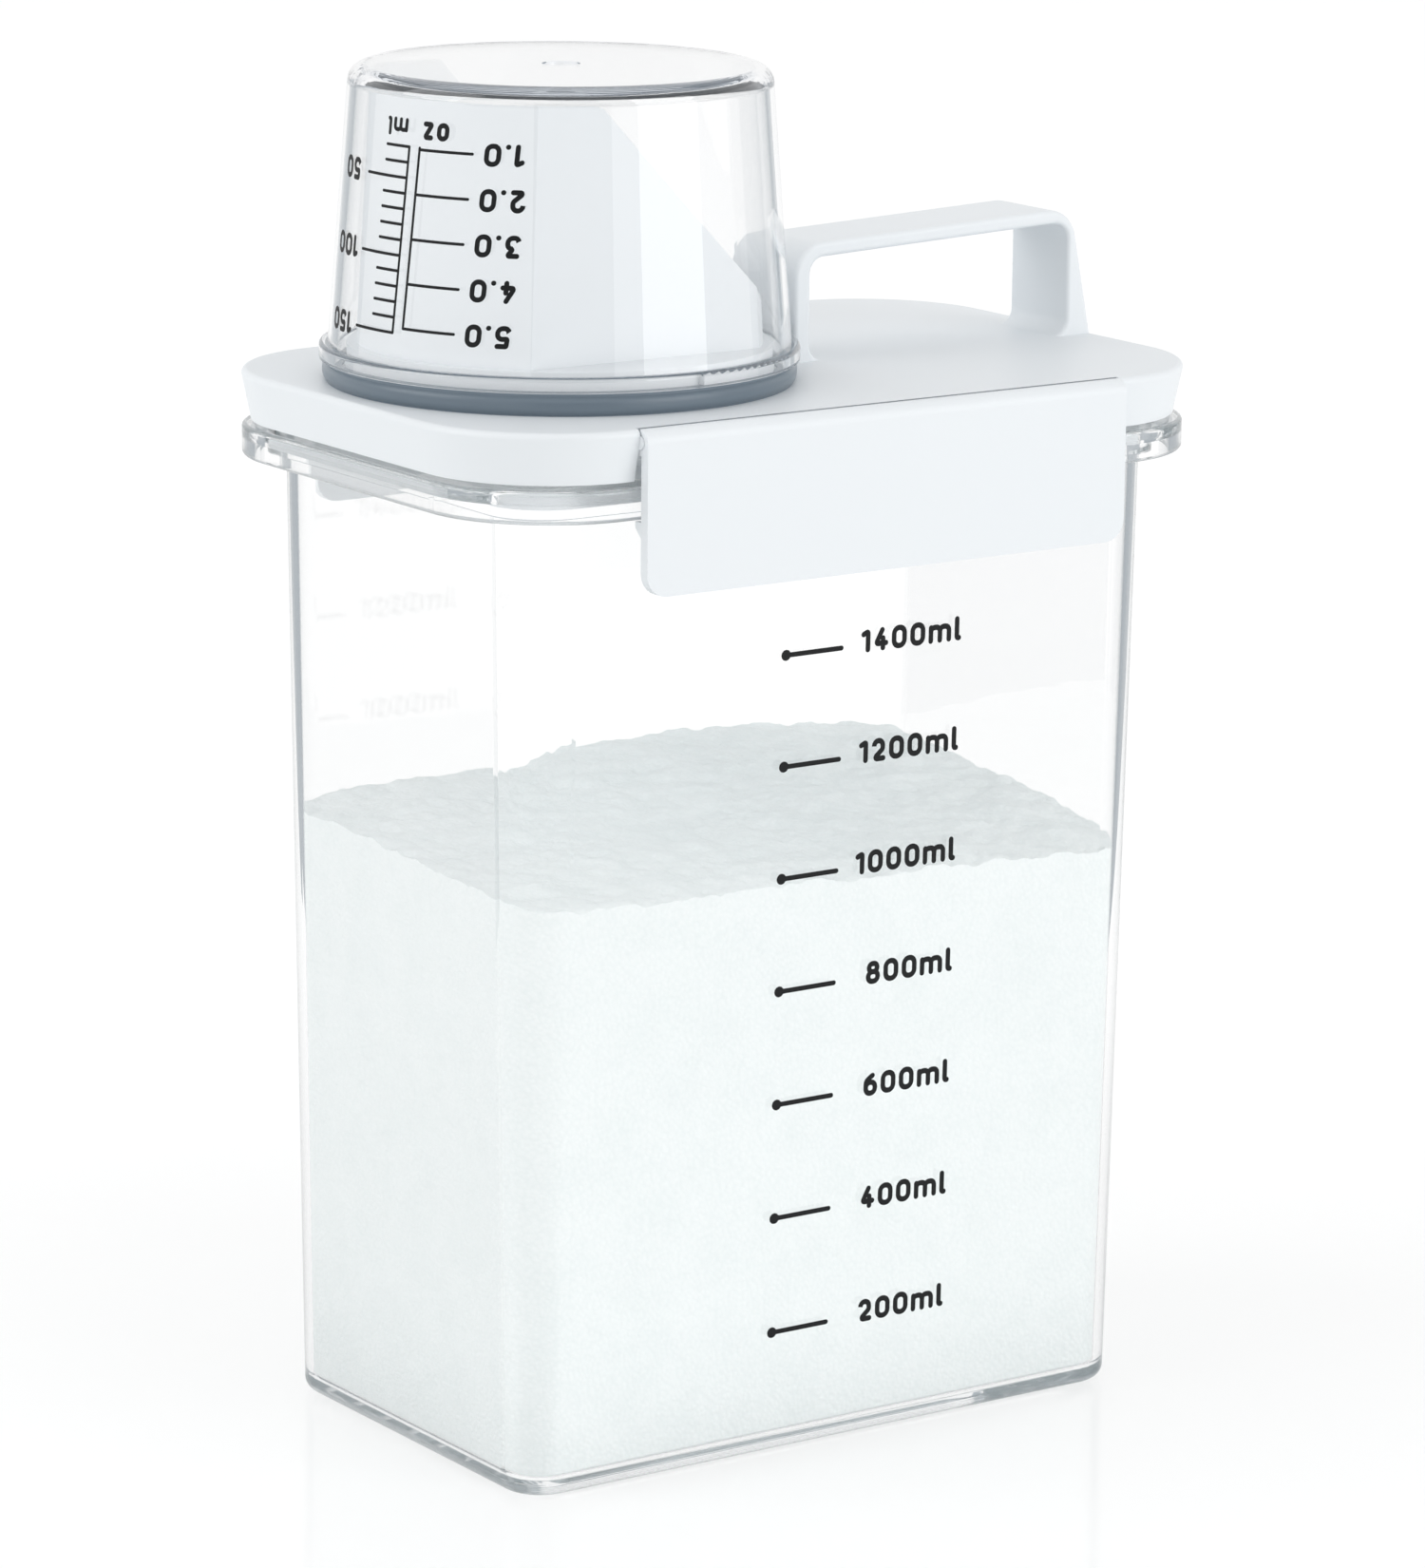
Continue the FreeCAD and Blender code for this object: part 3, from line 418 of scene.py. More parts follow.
def spray_dried_powder():
    """Spray-dried washing powder, loose beads."""
    # Chalky white with fine specks of painted shade between the beads, and random drifts of a darker tone.
    settings = bpy.context.scene.bottle_powder
    material, tree, output = new_material("spray_dried_powder")
    place = add_node(tree, "ShaderNodeTexCoord").outputs["Object"]
    beads = add_node(tree, "ShaderNodeTexVoronoi", {
        "Vector": place, "Scale": pattern_scale(settings.grain)})
    drift = add_node(tree, "ShaderNodeTexNoise", {
        "Vector": place, "Scale": pattern_scale(9 * MM), "Detail": 5.0, "Roughness": 0.65})
    # Painted shade: the colour darkens towards the gaps between the beads; the cloud below adds random
    # darker drifts.
    depth = add_node(tree, "ShaderNodeMapRange", {
        "Value": beads.outputs["Distance"], "From Min": 0.25, "From Max": 0.75,
        "To Min": 0.0, "To Max": 0.3})
    cloud = add_node(tree, "ShaderNodeMapRange", {
        "Value": drift.outputs["Fac"], "From Min": 0.4, "From Max": 0.68,
        "To Min": 0.0, "To Max": 0.3})
    share = add_node(tree, "ShaderNodeMath", {0: depth.outputs["Result"], 1: cloud.outputs["Result"]},
                     operation="ADD", use_clamp=True)
    colour = add_node(tree, "ShaderNodeMix", {
        "Factor": share.outputs["Value"], 6: rgba(settings.pale), 7: rgba(settings.shade)},
                      data_type="RGBA")
    bump = add_node(tree, "ShaderNodeBump", {
        "Height": beads.outputs["Distance"], "Strength": 0.35, "Distance": 0.3 * MM}, invert=True)
    surface = add_node(tree, "ShaderNodeBsdfPrincipled", {
        "Base Color": colour.outputs[2], "Roughness": 0.95, "IOR": 1.4, "Normal": bump.outputs["Normal"]})
    tree.links.new(surface.outputs["BSDF"], output.inputs["Surface"])
    return material


def screen_ink():
    """Black screen ink, printed on plastic."""
    # Dense black with a slightly uneven, satin face.
    settings = bpy.context.scene.bottle_print
    material, tree, output = new_material("screen_ink")
    place = add_node(tree, "ShaderNodeTexCoord").outputs["Object"]
    mottle = add_node(tree, "ShaderNodeTexNoise", {"Vector": place, "Scale": pattern_scale(0.6 * MM)})
    roughness = add_node(tree, "ShaderNodeMapRange", {
        "Value": mottle.outputs["Fac"], "To Min": 0.42, "To Max": 0.62})
    surface = add_node(tree, "ShaderNodeBsdfPrincipled", {
        "Base Color": rgba(settings.ink), "Roughness": roughness.outputs["Result"], "IOR": 1.3})
    tree.links.new(surface.outputs["BSDF"], output.inputs["Surface"])
    return material


def dress(node, material):
    """Give a CAD part its finish."""
    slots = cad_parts[node].data.materials
    slots.clear()
    slots.append(material)


def new_piece(name, mesh, material, body):
    """Put a mesh in the scene as a piece that rides on a CAD body."""
    mesh.materials.append(material)
    piece = bpy.data.objects.new(name, mesh)
    bpy.context.scene.collection.objects.link(piece)
    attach(piece, body)
    return piece


def finished_mesh(name, work):
    """Turn a net of faces under work into a mesh, and let the net go."""
    mesh = bpy.data.meshes.new(name)
    work.to_mesh(mesh)
    work.free()
    return mesh


def tub_inside(z, gap):
    """Half length, half width and corner radius of the tub's inside at a height, less a gap."""
    growth = z * TUB_SLOPE - TUB_WALL - gap
    return BASE_HALF_X + growth, BASE_HALF_Y + growth, TUB_CORNER + growth


def heap_place(row, column, half_x, half_y, radius):
    """Place of a row and column of the heap's net, which covers a rectangle with round corners."""
    across = 2 * column / HEAP_COLUMNS - 1
    bend = math.radians(90)
    if row < HEAP_CORNER_ROWS:
        angle = (row / HEAP_CORNER_ROWS - 1) * bend
        middle = radius - half_y
    elif row > HEAP_CORNER_ROWS + HEAP_STRAIGHT_ROWS:
        angle = (row - HEAP_CORNER_ROWS - HEAP_STRAIGHT_ROWS) / HEAP_CORNER_ROWS * bend
        middle = half_y - radius
    else:
        angle = 0
        middle = (2 * (row - HEAP_CORNER_ROWS) / HEAP_STRAIGHT_ROWS - 1) * (half_y - radius)
    half_length = half_x - radius + radius * math.cos(angle)
    return across * half_length, middle + radius * math.sin(angle)


def heap_height(x, y):
    """Height of the powder at a place: a slope from front to rear, with clumps and grains."""
    settings = bpy.context.scene.bottle_powder
    back = max(0, (y / BASE_HALF_Y + 1) / 2) ** HEAP_BEND
    front = settings.front_level - HEAP_FALL * x
    crown = HEAP_CROWN * math.exp(-((x - HEAP_CROWN_PLACE) / HEAP_CROWN_REACH) ** 2)
    crown -= HEAP_END_LOSS * (x / BASE_HALF_X) ** 2
    level = front + (settings.rear_level + crown - front) * back
    spot = Vector((x, y, 0)) / MM
    swell = noise.noise(spot / SWELL_WIDTH)
    clumps = noise.fractal(spot / CLUMP_WIDTH, *CLUMP_LAYERS)
    grains = noise.noise(spot / GRAIN_WIDTH) + FINE_GRAIN_SHARE * noise.noise(spot / FINE_GRAIN_WIDTH)
    return level + settings.clump * (SWELL_SHARE * swell + CLUMP_SHARE * clumps + GRAIN_SHARE * grains)


def powder_mesh():
    """The heap of powder: smooth sides against the tub and a lumpy top."""
    gap = bpy.context.scene.bottle_powder.wall_gap
    floor = powder_low.z + gap
    bottom = floor + TUB_FLOOR_ROUND
    last_row = 2 * HEAP_CORNER_ROWS + HEAP_STRAIGHT_ROWS
    rows = range(last_row + 1)
    columns = range(HEAP_COLUMNS + 1)
    work = bmesh.new()

    def vert(row, column, z, inset=0):
        return work.verts.new((*heap_place(row, column, *tub_inside(z, gap + inset)), z))

    def top_vert(row, column):
        return vert(row, column, heap_height(*heap_place(row, column, *tub_inside(powder_high.z, gap))))

    top = [[top_vert(row, column) for column in columns] for row in rows]
    for near, far in zip(top, top[1:]):
        for column in range(HEAP_COLUMNS):
            work.faces.new((near[column], near[column + 1], far[column + 1], far[column]))
    front = [(0, column) for column in columns[:-1]]
    right = [(row, HEAP_COLUMNS) for row in rows[:-1]]
    rear = [(last_row, column) for column in reversed(columns[1:])]
    left = [(row, 0) for row in reversed(rows[1:])]
    brim = front + right + rear + left
    rings = [[vert(row, column, floor, TUB_FLOOR_ROUND) for row, column in brim]]
    for share in HEAP_SIDE_SHARES:
        rings.append([
            vert(row, column, bottom + share * (top[row][column].co.z - bottom)) for row, column in brim])
    rings.append([top[row][column] for row, column in brim])
    for lower, upper in zip(rings, rings[1:]):
        for index in range(len(brim)):
            work.faces.new((lower[index - 1], lower[index], upper[index], upper[index - 1]))
    pit = work.verts.new((0, 0, floor))
    for index in range(len(brim)):
        work.faces.new((rings[0][index], rings[0][index - 1], pit))
    for face in work.faces:
        face.smooth = True
    for index in range(len(brim)):
        work.edges.get((rings[-1][index - 1], rings[-1][index])).smooth = False
    return finished_mesh("powder_heap", work)


def seal_mesh():
    """The seal ring: a round bead that draws in at the lid and under the cup's rim."""
    low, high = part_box("spout_seal_ring")
    radius = (high.x - low.x) / 2
    inner = radius - SEAL_BAND
    neck = radius - SEAL_TUCK
    contact = cup_low.z + SEAL_PRESS
    foot = low.z + SEAL_FOOT
    head = high.z - 2 * SEAL_FOOT
    section = [(inner, contact), (inner, low.z), (neck, low.z)]
    for step in range(SEAL_STEPS + 1):
        share = step / SEAL_STEPS
        bulge = 1 - abs(2 * share - 1) ** 3
        section.append((neck + SEAL_TUCK * bulge, foot + share * (head - foot)))
    section.append((neck, contact))
    work = bmesh.new()
    spokes = []
    for turn in range(SEAL_TURNS):
        angle = math.tau * turn / SEAL_TURNS
        spokes.append([
            work.verts.new((CUP_CENTRE_X + r * math.cos(angle), r * math.sin(angle), z))
            for r, z in section])
    corners = (0, 1, 2, 3, SEAL_STEPS + 3, SEAL_STEPS + 4)
    for spoke, following in zip(spokes, spokes[1:] + spokes[:1]):
        for index in range(len(section)):
            face = work.faces.new((spoke[index - 1], following[index - 1], following[index], spoke[index]))
            face.smooth = True
        for index in corners:
            work.edges.get((spoke[index], following[index])).smooth = False
    return finished_mesh("seal_bead", work)


def rounded_path(corners, closed, step):
    """Points along a stroke whose corners are rounded, no further apart than a step."""
    count = len(corners)
    spots = [Vector(corner[:2]) for corner in corners]
    ends = []
    for index, (spot, corner) in enumerate(zip(spots, corners)):
        rounding = corner[2]
        if rounding == 0 or (not closed and index in (0, count - 1)):
            ends.append([spot])
            continue
        before = (spots[index - 1] - spot).normalized()
        after = (spots[(index + 1) % count] - spot).normalized()
        half = before.angle(after) / 2
        reach = rounding / math.tan(half)
        middle = spot + (before + after).normalized() * (rounding / math.sin(half))
        start = spot + before * reach - middle
        sweep = start.angle_signed(spot + after * reach - middle)
        pieces = max(3, math.ceil(abs(sweep) * rounding / step))
        turned = (Matrix.Rotation(-sweep * part / pieces, 2) @ start for part in range(pieces + 1))
        ends.append([middle + point for point in turned])
    path = []
    for index, points in enumerate(ends):
        path.extend(points)
        if index == count - 1 and not closed:
            break
        target = ends[(index + 1) % count][0]
        run = target - points[-1]
        pieces = max(1, math.ceil(run.length / step))
        path.extend(points[-1] + run * part / pieces for part in range(1, pieces))
    return path


def add_ribbon(work, path, closed, width, place):
    """Add a flat stroke of a width along a path, with round ends, laid down by a placing function."""
    count = len(path)
    cap_steps = 6
    pairs = []
    for index, point in enumerate(path):
        before = path[index - 1] if index or closed else point
        after = path[(index + 1) % count] if index < count - 1 or closed else point
        along = (after - before).normalized()
        across = Vector((-along.y, along.x)) * width / 2
        pairs.append((work.verts.new(place(point + across)), work.verts.new(place(point - across))))
    links = list(zip(pairs, pairs[1:]))
    if closed:
        links.append((pairs[-1], pairs[0]))
    for (left, right), (next_left, next_right) in links:
        work.faces.new((left, right, next_right, next_left))
    if closed:
        return
    for point, toward, pair in ((path[0], path[1], pairs[0]), (path[-1], path[-2], pairs[-1])):
        out = (point - toward).normalized() * width / 2
        side = Vector((-out.y, out.x))
        arc = []
        for part in range(1, cap_steps):
            angle = math.pi * part / cap_steps
            arc.append(work.verts.new(place(point + side * math.cos(angle) + out * math.sin(angle))))
        left, right = pair if point is path[-1] else reversed(pair)
        work.faces.new([right, *reversed(arc), left])


def sign_width(sign):
    """Width of a sign's strokes for a letter one unit tall."""
    return max(corner[0] for _, corners in SIGNS[sign] for corner in corners)


def add_text(work, text, height, weight, origin, place, turned=False):
    """Add a line of signs. The origin is its lower left corner, or with turned its upper right one."""
    tall = height - weight
    gap = weight * SIGN_GAP
    pen = weight / 2
    flip = -1 if turned else 1
    for sign in text:
        for closed, corners in SIGNS[sign]:
            scaled = [
                (origin[0] + flip * (pen + x * tall), origin[1] + flip * (weight / 2 + y * tall), r * tall)
                for x, y, r in corners]
            add_ribbon(work, rounded_path(scaled, closed, SIGN_STEP), closed, weight, place)
        pen += sign_width(sign) * tall + gap


def text_width(text, height, weight):
    """Width of a line of signs."""
    tall = height - weight
    return sum(sign_width(sign) * tall for sign in text) + weight + (len(text) - 1) * weight * SIGN_GAP


def add_line(work, start, end, weight, place):
    """Add a straight line with round ends."""
    corners = [(*start, 0), (*end, 0)]
    add_ribbon(work, rounded_path(corners, False, LINE_STEP), False, weight, place)


def print_piece(name, work, body):
    """Turn laid-down strokes into a thin layer of ink on a body."""
    piece = new_piece(name, finished_mesh(name, work), screen_ink(), body)
    layer = piece.modifiers.new("ink_layer", "SOLIDIFY")
    layer.thickness = PRINT_THICKNESS
    layer.offset = 1.0
    # The strokes are too fine to shade what stands behind them in soft light.
    piece.visible_shadow = False
    piece.visible_diffuse = False
    piece.visible_glossy = False
    return piece


def tub_mark_height(volume):
    """Height on the tub up to which it holds a volume in cubic metres."""
    zero = bpy.context.scene.bottle_print.tub_zero
    z = zero
    rounds = 12
    for _ in range(rounds):
        half_x, half_y, _radius = tub_inside((z + zero) / 2, 0)
        z = zero + volume / (4 * half_x * half_y)
    return z


def on_tub_front(point):
    """Lay a flat point on the tub's leaning front face."""
    x, z = point
    return Vector((x, -(BASE_HALF_Y + z * TUB_SLOPE) - PRINT_LIFT, z))


def on_cup(point):
    """Lay a flat point on the cup's outside, from its length along the wall and its height."""
    along, z = point
    radius = CUP_RIM_RADIUS - (z - cup_low.z) * CUP_TAPER + PRINT_LIFT
    angle = CUP_SCALE_ANGLE + CUP_SCALE_LEAN * (z - cup_high.z) + along / radius
    return Vector((CUP_CENTRE_X + radius * math.cos(angle), radius * math.sin(angle), z))


class BOTTLE_OT_clear_parts(bpy.types.Operator):
    """Finish the tub and the measuring cup as clear plastic"""

    bl_idname = "bottle.clear_parts"
    bl_label = "Clear tub and cup"

    def execute(self, context):
        settings = context.scene.bottle_plastic
        dress("container", clear_styrene(
            "clear_styrene_tub", settings.tub_tint, settings.tub_density, settings.tub_sharpness))
        dress("measuring_cup", clear_styrene(
            "clear_styrene_cup", settings.cup_tint, settings.cup_density, settings.cup_sharpness))
        return {"FINISHED"}


class BOTTLE_OT_white_parts(bpy.types.Operator):
    """Finish the lid, latches, handle and spout as white plastic"""

    bl_idname = "bottle.white_parts"
    bl_label = "White lid, latches, handle and spout"

    def execute(self, context):
        material = white_polypropylene()
        for node in ("lid", "front_latch", "rear_latch", "carry_handle", "pour_spout"):
            dress(node, material)
        return {"FINISHED"}


class BOTTLE_OT_seals(bpy.types.Operator):
    """Make the seal ring's bead, and finish it and the lid gasket as silicone"""

    bl_idname = "bottle.seals"
    bl_label = "Silicone seals"

    def execute(self, context):
        piece = new_piece("seal_bead", seal_mesh(), blue_grey_silicone(), "lid_body")
        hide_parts("spout_seal_ring")
        dress("lid_gasket", milky_silicone())
        return {"FINISHED"}


class BOTTLE_OT_powder(bpy.types.Operator):
    """Fill the tub with a lumpy heap of washing powder"""

    bl_idname = "bottle.powder"
    bl_label = "Washing powder"

    def execute(self, context):
        piece = new_piece("powder_heap", powder_mesh(), spray_dried_powder(), "container_body")
        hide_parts("detergent_powder")
        return {"FINISHED"}


class BOTTLE_OT_tub_scale(bpy.types.Operator):
    """Print the volume scale on the tub's front"""

    bl_idname = "bottle.tub_scale"
    bl_label = "Tub scale"

    def execute(self, context):
        settings = context.scene.bottle_print
        work = bmesh.new()
        letter = settings.tub_letter
        weight = settings.tub_weight
        start = settings.tub_start
        for step in range(1, settings.tub_steps + 1):
            z = tub_mark_height(TUB_STEP * step)
            for length, width in (
                    (TUB_DOT_LENGTH, settings.tub_dot), (settings.tub_line, settings.tub_line_weight)):
                add_line(work, (start, z), (start + length, z), width, on_tub_front)
            text = f"{TUB_STEP_ML * step}ml"
            left = start + settings.tub_text_end - text_width(text, letter, weight)
            base = z + settings.tub_text_rise - letter / 2
            add_text(work, text, letter, weight, (left, base), on_tub_front)
        print_piece("tub_scale", work, "container_body")
        return {"FINISHED"}


class BOTTLE_OT_cup_scale(bpy.types.Operator):
    """Print the millilitre and ounce scales on the cup, upside down as the cup stands"""

    bl_idname = "bottle.cup_scale"
    bl_label = "Cup scales"

    def execute(self, context):
        settings = context.scene.bottle_print
        letter = settings.cup_letter
        weight = settings.cup_weight
        line = settings.cup_line_weight
        reach = settings.cup_long_mark
        top = cup_low.z + settings.cup_first
        work = bmesh.new()
        for volume in range(CUP_FIRST_ML, CUP_LAST_ML + 1, CUP_STEP_ML):
            z = top - (volume - CUP_FIRST_ML) / CUP_STEP_ML * settings.cup_ml_step
            if volume % CUP_FIGURE_ML:
                add_line(work, (0, z), (-settings.cup_short_mark, z), line, on_cup)
            else:
                add_line(work, (0, z), (-reach, z), line, on_cup)
                text = str(volume)
                end = text_width(text, letter, weight) / 2 - reach - settings.cup_figure_gap
                add_text(work, text, letter, weight, (end, z + letter / 2), on_cup, turned=True)
        add_line(work, (0, top), (0, z), line, on_cup)
        add_text(work, "ml", settings.cup_ml_letter, settings.cup_ml_weight,
                 (CUP_ML_END, top + CUP_ML_RISE), on_cup, turned=True)
        side = settings.cup_line_gap
        for ounces in range(1, CUP_LAST_OZ + 1):
            z = top - CUP_OZ_DROP - (ounces - 1) * settings.cup_oz_step
            text = f"{ounces}.0"
            end = side + reach + CUP_OZ_FIGURE_GAP + text_width(text, letter, weight)
            add_line(work, (side, z), (side + reach, z), line, on_cup)
            add_text(work, text, letter, weight, (end, z + letter / 2), on_cup, turned=True)
        add_line(work, (side, top), (side, z), line, on_cup)
        add_text(work, "oz", letter, weight, (CUP_OZ_END, top + CUP_OZ_RISE), on_cup, turned=True)
        print_piece("cup_scales", work, "cup_body")
        return {"FINISHED"}


class BOTTLE_OT_stage(bpy.types.Operator):
    """Set the floor, the soft light and the camera"""

    bl_idname = "bottle.stage"
    bl_label = "Stage"

    def execute(self, context):
        make_floor()
        make_sky()
        settings = context.scene.bottle_stage
        make_soft_light("front_light", settings.front_power)
        make_soft_light("left_light", settings.left_power)
        rear = make_soft_light("rear_light", settings.rear_power)
        rear.visible_glossy = False
        make_side_card("left_card", -SIDE_CARD_ASIDE)
        make_side_card("right_card", SIDE_CARD_ASIDE)
        make_top_card()
        make_room_card()
        make_camera()
        context.scene.view_settings.view_transform = "Standard"
        # Light that runs along a clear wall is followed until it leaves it.
        cycles = context.scene.cycles
        cycles.max_bounces = MOST_BOUNCES
        cycles.glossy_bounces = MOST_BOUNCES
        cycles.transmission_bounces = MOST_BOUNCES
        return {"FINISHED"}


def seen_share(tree):
    """One for light on its way to the camera, straight, through clear plastic or mirrored, else nought."""
    path = add_node(tree, "ShaderNodeLightPath")
    direct = add_node(tree, "ShaderNodeMath", {
        0: path.outputs["Is Camera Ray"], 1: path.outputs["Is Transmission Ray"]}, operation="MAXIMUM")
    seen = add_node(tree, "ShaderNodeMath", {
        0: direct.outputs["Value"], 1: path.outputs["Is Glossy Ray"]}, operation="MAXIMUM")
    return seen.outputs["Value"]


def make_floor():
    """A wide pale floor that the camera sees as white, with the bottle's soft shadow kept."""
    settings = bpy.context.scene.bottle_stage
    half = 4.0
    drop = 0.1 * MM
    mesh = bpy.data.meshes.new("floor")
    corners = [(-half, -half, -drop), (half, -half, -drop), (half, half, -drop), (-half, half, -drop)]
    mesh.from_pydata(corners, [], [(0, 1, 2, 3)])
    material, tree, output = new_material("studio_floor")
    matt = add_node(tree, "ShaderNodeBsdfDiffuse", {"Color": rgba(settings.floor)})
    place = add_node(tree, "ShaderNodeTexCoord").outputs["Object"]
    spread = add_node(tree, "ShaderNodeMapping", {"Vector": place, "Scale": (3.0, 3.0, 3.0)})
    patch = add_node(tree, "ShaderNodeTexGradient", {
        "Vector": spread.outputs["Vector"]}, gradient_type="SPHERICAL")
    strength = add_node(tree, "ShaderNodeMapRange", {
        "Value": patch.outputs["Fac"], "To Min": 1.22, "To Max": 1.09})
    glow = add_node(tree, "ShaderNodeEmission", {
        "Color": (1, 1, 1, 1), "Strength": strength.outputs["Result"]})
    share = add_node(tree, "ShaderNodeMath", {0: seen_share(tree), 1: 0.6}, operation="MULTIPLY")
    pale = add_node(tree, "ShaderNodeMixShader", {
        0: share.outputs["Value"], 1: matt.outputs["BSDF"], 2: glow.outputs["Emission"]})
    # The floor's faint gloss round the bottle, stronger at the camera's shallow angle.
    gloss = add_node(tree, "ShaderNodeBsdfGlossy", {"Roughness": 0.1})
    rim = add_node(tree, "ShaderNodeFresnel", {"IOR": 1.45})
    sheen = add_node(tree, "ShaderNodeMath", {
        0: rim.outputs["Fac"], 1: patch.outputs["Fac"]}, operation="MULTIPLY")
    mix = add_node(tree, "ShaderNodeMixShader", {
        0: sheen.outputs["Value"], 1: pale.outputs["Shader"], 2: gloss.outputs["BSDF"]})
    tree.links.new(mix.outputs["Shader"], output.inputs["Surface"])
    mesh.materials.append(material)
    floor = bpy.data.objects.new("floor", mesh)
    bpy.context.scene.collection.objects.link(floor)


def make_sky():
    """Even light all round, seen as white behind the bottle."""
    settings = bpy.context.scene.bottle_stage
    world = bpy.data.worlds.new("studio")
    world.use_nodes = True
    tree = world.node_tree
    tree.nodes.clear()
    strength = add_node(tree, "ShaderNodeMapRange", {
        "Value": seen_share(tree), "To Min": settings.sky_strength, "To Max": 1.0})
    light = add_node(tree, "ShaderNodeBackground", {
        "Color": (1, 1, 1, 1), "Strength": strength.outputs["Result"]})
    output = add_node(tree, "ShaderNodeOutputWorld")
    tree.links.new(light.outputs["Background"], output.inputs["Surface"])
    bpy.context.scene.world = world


def outward(azimuth, elevation):
    """Direction from the bottle at an azimuth from the front and an elevation, in degrees."""
    turn = math.radians(azimuth)
    rise = math.radians(elevation)
    return Vector((math.sin(turn) * math.cos(rise), -math.cos(turn) * math.cos(rise), math.sin(rise)))


def make_soft_light(name, power):
    """A large square light, turned to the middle of the bottle."""
    light = bpy.data.lights.new(name, "AREA")
    light.shape = "SQUARE"
    light.size = LIGHT_WIDTH
    light.energy = power
    lamp = bpy.data.objects.new(name, light)
    out = outward(*LIGHT_PLACES[name])
    lamp.location = BOTTLE_MIDDLE + LIGHT_DISTANCE * out
    lamp.rotation_euler = (-out).to_track_quat("-Z", "Y").to_euler()
    lamp.visible_transmission = False
    bpy.context.scene.collection.objects.link(lamp)
    return lamp


def make_card(name, colour, corners):
    """A grey card that only mirrored light meets, so that it isn't seen straight through a clear wall."""
    mesh = bpy.data.meshes.new(name)
    mesh.from_pydata(corners, [], [(0, 1, 2, 3)])
    material, tree, output = new_material(name)
    path = add_node(tree, "ShaderNodeLightPath")
    mirrored = add_node(tree, "ShaderNodeMath", {
        0: path.outputs["Glossy Depth"], 1: 0.5}, operation="GREATER_THAN")
    passing = add_node(tree, "ShaderNodeBsdfTransparent", {"Color": (1, 1, 1, 1)})
    grey = add_node(tree, "ShaderNodeEmission", {"Color": rgba(colour)})
    either = add_node(tree, "ShaderNodeMixShader", {
        0: mirrored.outputs["Value"], 1: passing.outputs["BSDF"], 2: grey.outputs["Emission"]})
    tree.links.new(either.outputs["Shader"], output.inputs["Surface"])
    mesh.materials.append(material)
    card = bpy.data.objects.new(name, mesh)
    card.visible_camera = False
    card.visible_diffuse = False
    card.visible_shadow = False
    bpy.context.scene.collection.objects.link(card)
    return card


def make_side_card(name, aside):
    """An upright card behind and beside the bottle."""
    near = 0.12
    far = 0.8
    height = 0.5
    behind = outward(VIEW_AZIMUTH + 180, 0)
    foot = aside * outward(VIEW_AZIMUTH + 90, 0)
    up = Vector((0, 0, height))
    start = foot + near * behind
    end = foot + far * behind
    colour = bpy.context.scene.bottle_stage.side_card
    card = make_card(name, colour, [start, end, end + up, start + up])
    card.visible_glossy = False


def make_top_card():
    """A level card over the bottle."""
    half = 0.9
    height = 0.6
    colour = bpy.context.scene.bottle_stage.top_card
    card = make_card("top_card", colour, [
        (-half, -half, height), (half, -half, height), (half, half, height), (-half, half, height)])
    card.visible_glossy = False


def make_room_card():
    """An upright card behind the camera, the unlit room between the lamps that the cup's front mirrors."""
    away = 1.4
    height = 0.6
    start, end = (away * outward(azimuth, 0) for azimuth in ROOM_CARD_ENDS)
    up = Vector((0, 0, height))
    colour = bpy.context.scene.bottle_stage.room_card
    card = make_card("room_card", colour, [start, end, end + up, start + up])
    card.visible_transmission = False


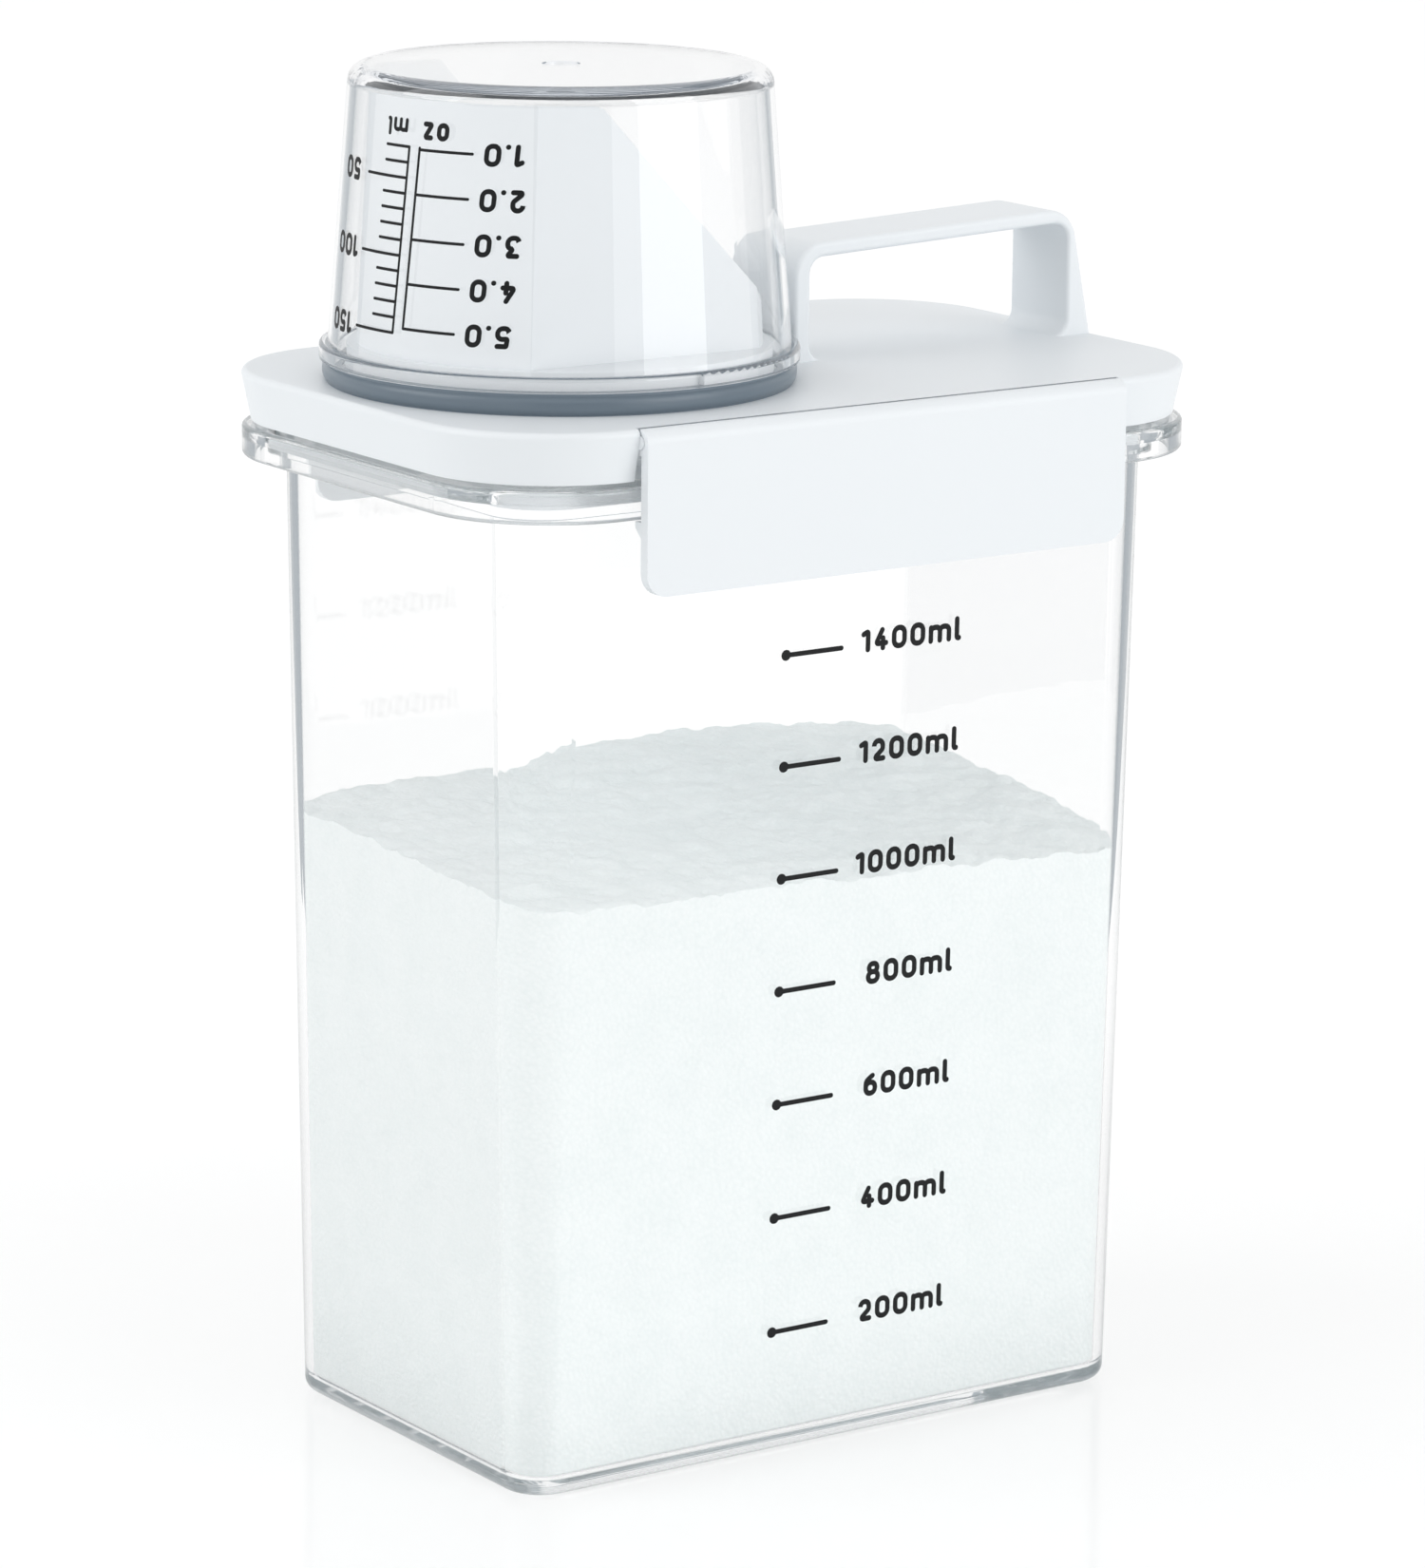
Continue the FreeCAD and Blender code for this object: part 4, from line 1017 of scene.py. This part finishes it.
def make_camera():
    """The camera at the photograph's viewing angle."""
    settings = bpy.context.scene.bottle_stage
    roll = math.radians(0.564)
    distance = 1154.35 * MM
    target = Vector((0.18, -0.12, 110.94)) * MM
    out = outward(VIEW_AZIMUTH, VIEW_ELEVATION)
    lens = bpy.data.cameras.new("camera")
    lens.sensor_fit = "HORIZONTAL"
    lens.sensor_width = 36.0
    lens.lens = settings.lens
    lens.clip_start = 0.05
    camera = bpy.data.objects.new("camera", lens)
    turn = (-out).to_track_quat("-Z", "Y").to_matrix().to_4x4() @ Matrix.Rotation(roll, 4, "Z")
    camera.matrix_world = Matrix.Translation(target + distance * out) @ turn
    bpy.context.scene.collection.objects.link(camera)
    bpy.context.scene.camera = camera


OPERATORS = (
    BOTTLE_OT_clear_parts, BOTTLE_OT_white_parts, BOTTLE_OT_seals, BOTTLE_OT_powder,
    BOTTLE_OT_tub_scale, BOTTLE_OT_cup_scale, BOTTLE_OT_stage)
SETTINGS = {
    "bottle_plastic": PlasticSettings, "bottle_powder": PowderSettings,
    "bottle_print": PrintSettings, "bottle_stage": StageSettings}


class BOTTLE_PT_panel(bpy.types.Panel):
    """Steps that dress the bottle, and their settings"""

    bl_label = "Bottle"
    bl_idname = "BOTTLE_PT_panel"
    bl_space_type = "VIEW_3D"
    bl_region_type = "UI"
    bl_category = "Bottle"

    def draw(self, context):
        for operator in OPERATORS:
            self.layout.operator(operator.bl_idname)
        for group in SETTINGS:
            settings = getattr(context.scene, group)
            for name in settings.__annotations__:
                self.layout.prop(settings, name)


def register():
    """Register the settings, the operators and the panel."""
    for kind in (*SETTINGS.values(), *OPERATORS, BOTTLE_PT_panel):
        bpy.utils.register_class(kind)
    for name, kind in SETTINGS.items():
        setattr(bpy.types.Scene, name, PointerProperty(type=kind))


def unregister():
    """Remove what register added."""
    for name in SETTINGS:
        delattr(bpy.types.Scene, name)
    for kind in (BOTTLE_PT_panel, *OPERATORS, *SETTINGS.values()):
        bpy.utils.unregister_class(kind)


def main():
    """Dress the bottle and set the stage."""
    register()
    bpy.ops.bottle.clear_parts()
    bpy.ops.bottle.white_parts()
    bpy.ops.bottle.seals()
    bpy.ops.bottle.powder()
    bpy.ops.bottle.tub_scale()
    bpy.ops.bottle.cup_scale()
    bpy.ops.bottle.stage()


if __name__ == "__main__":
    main()
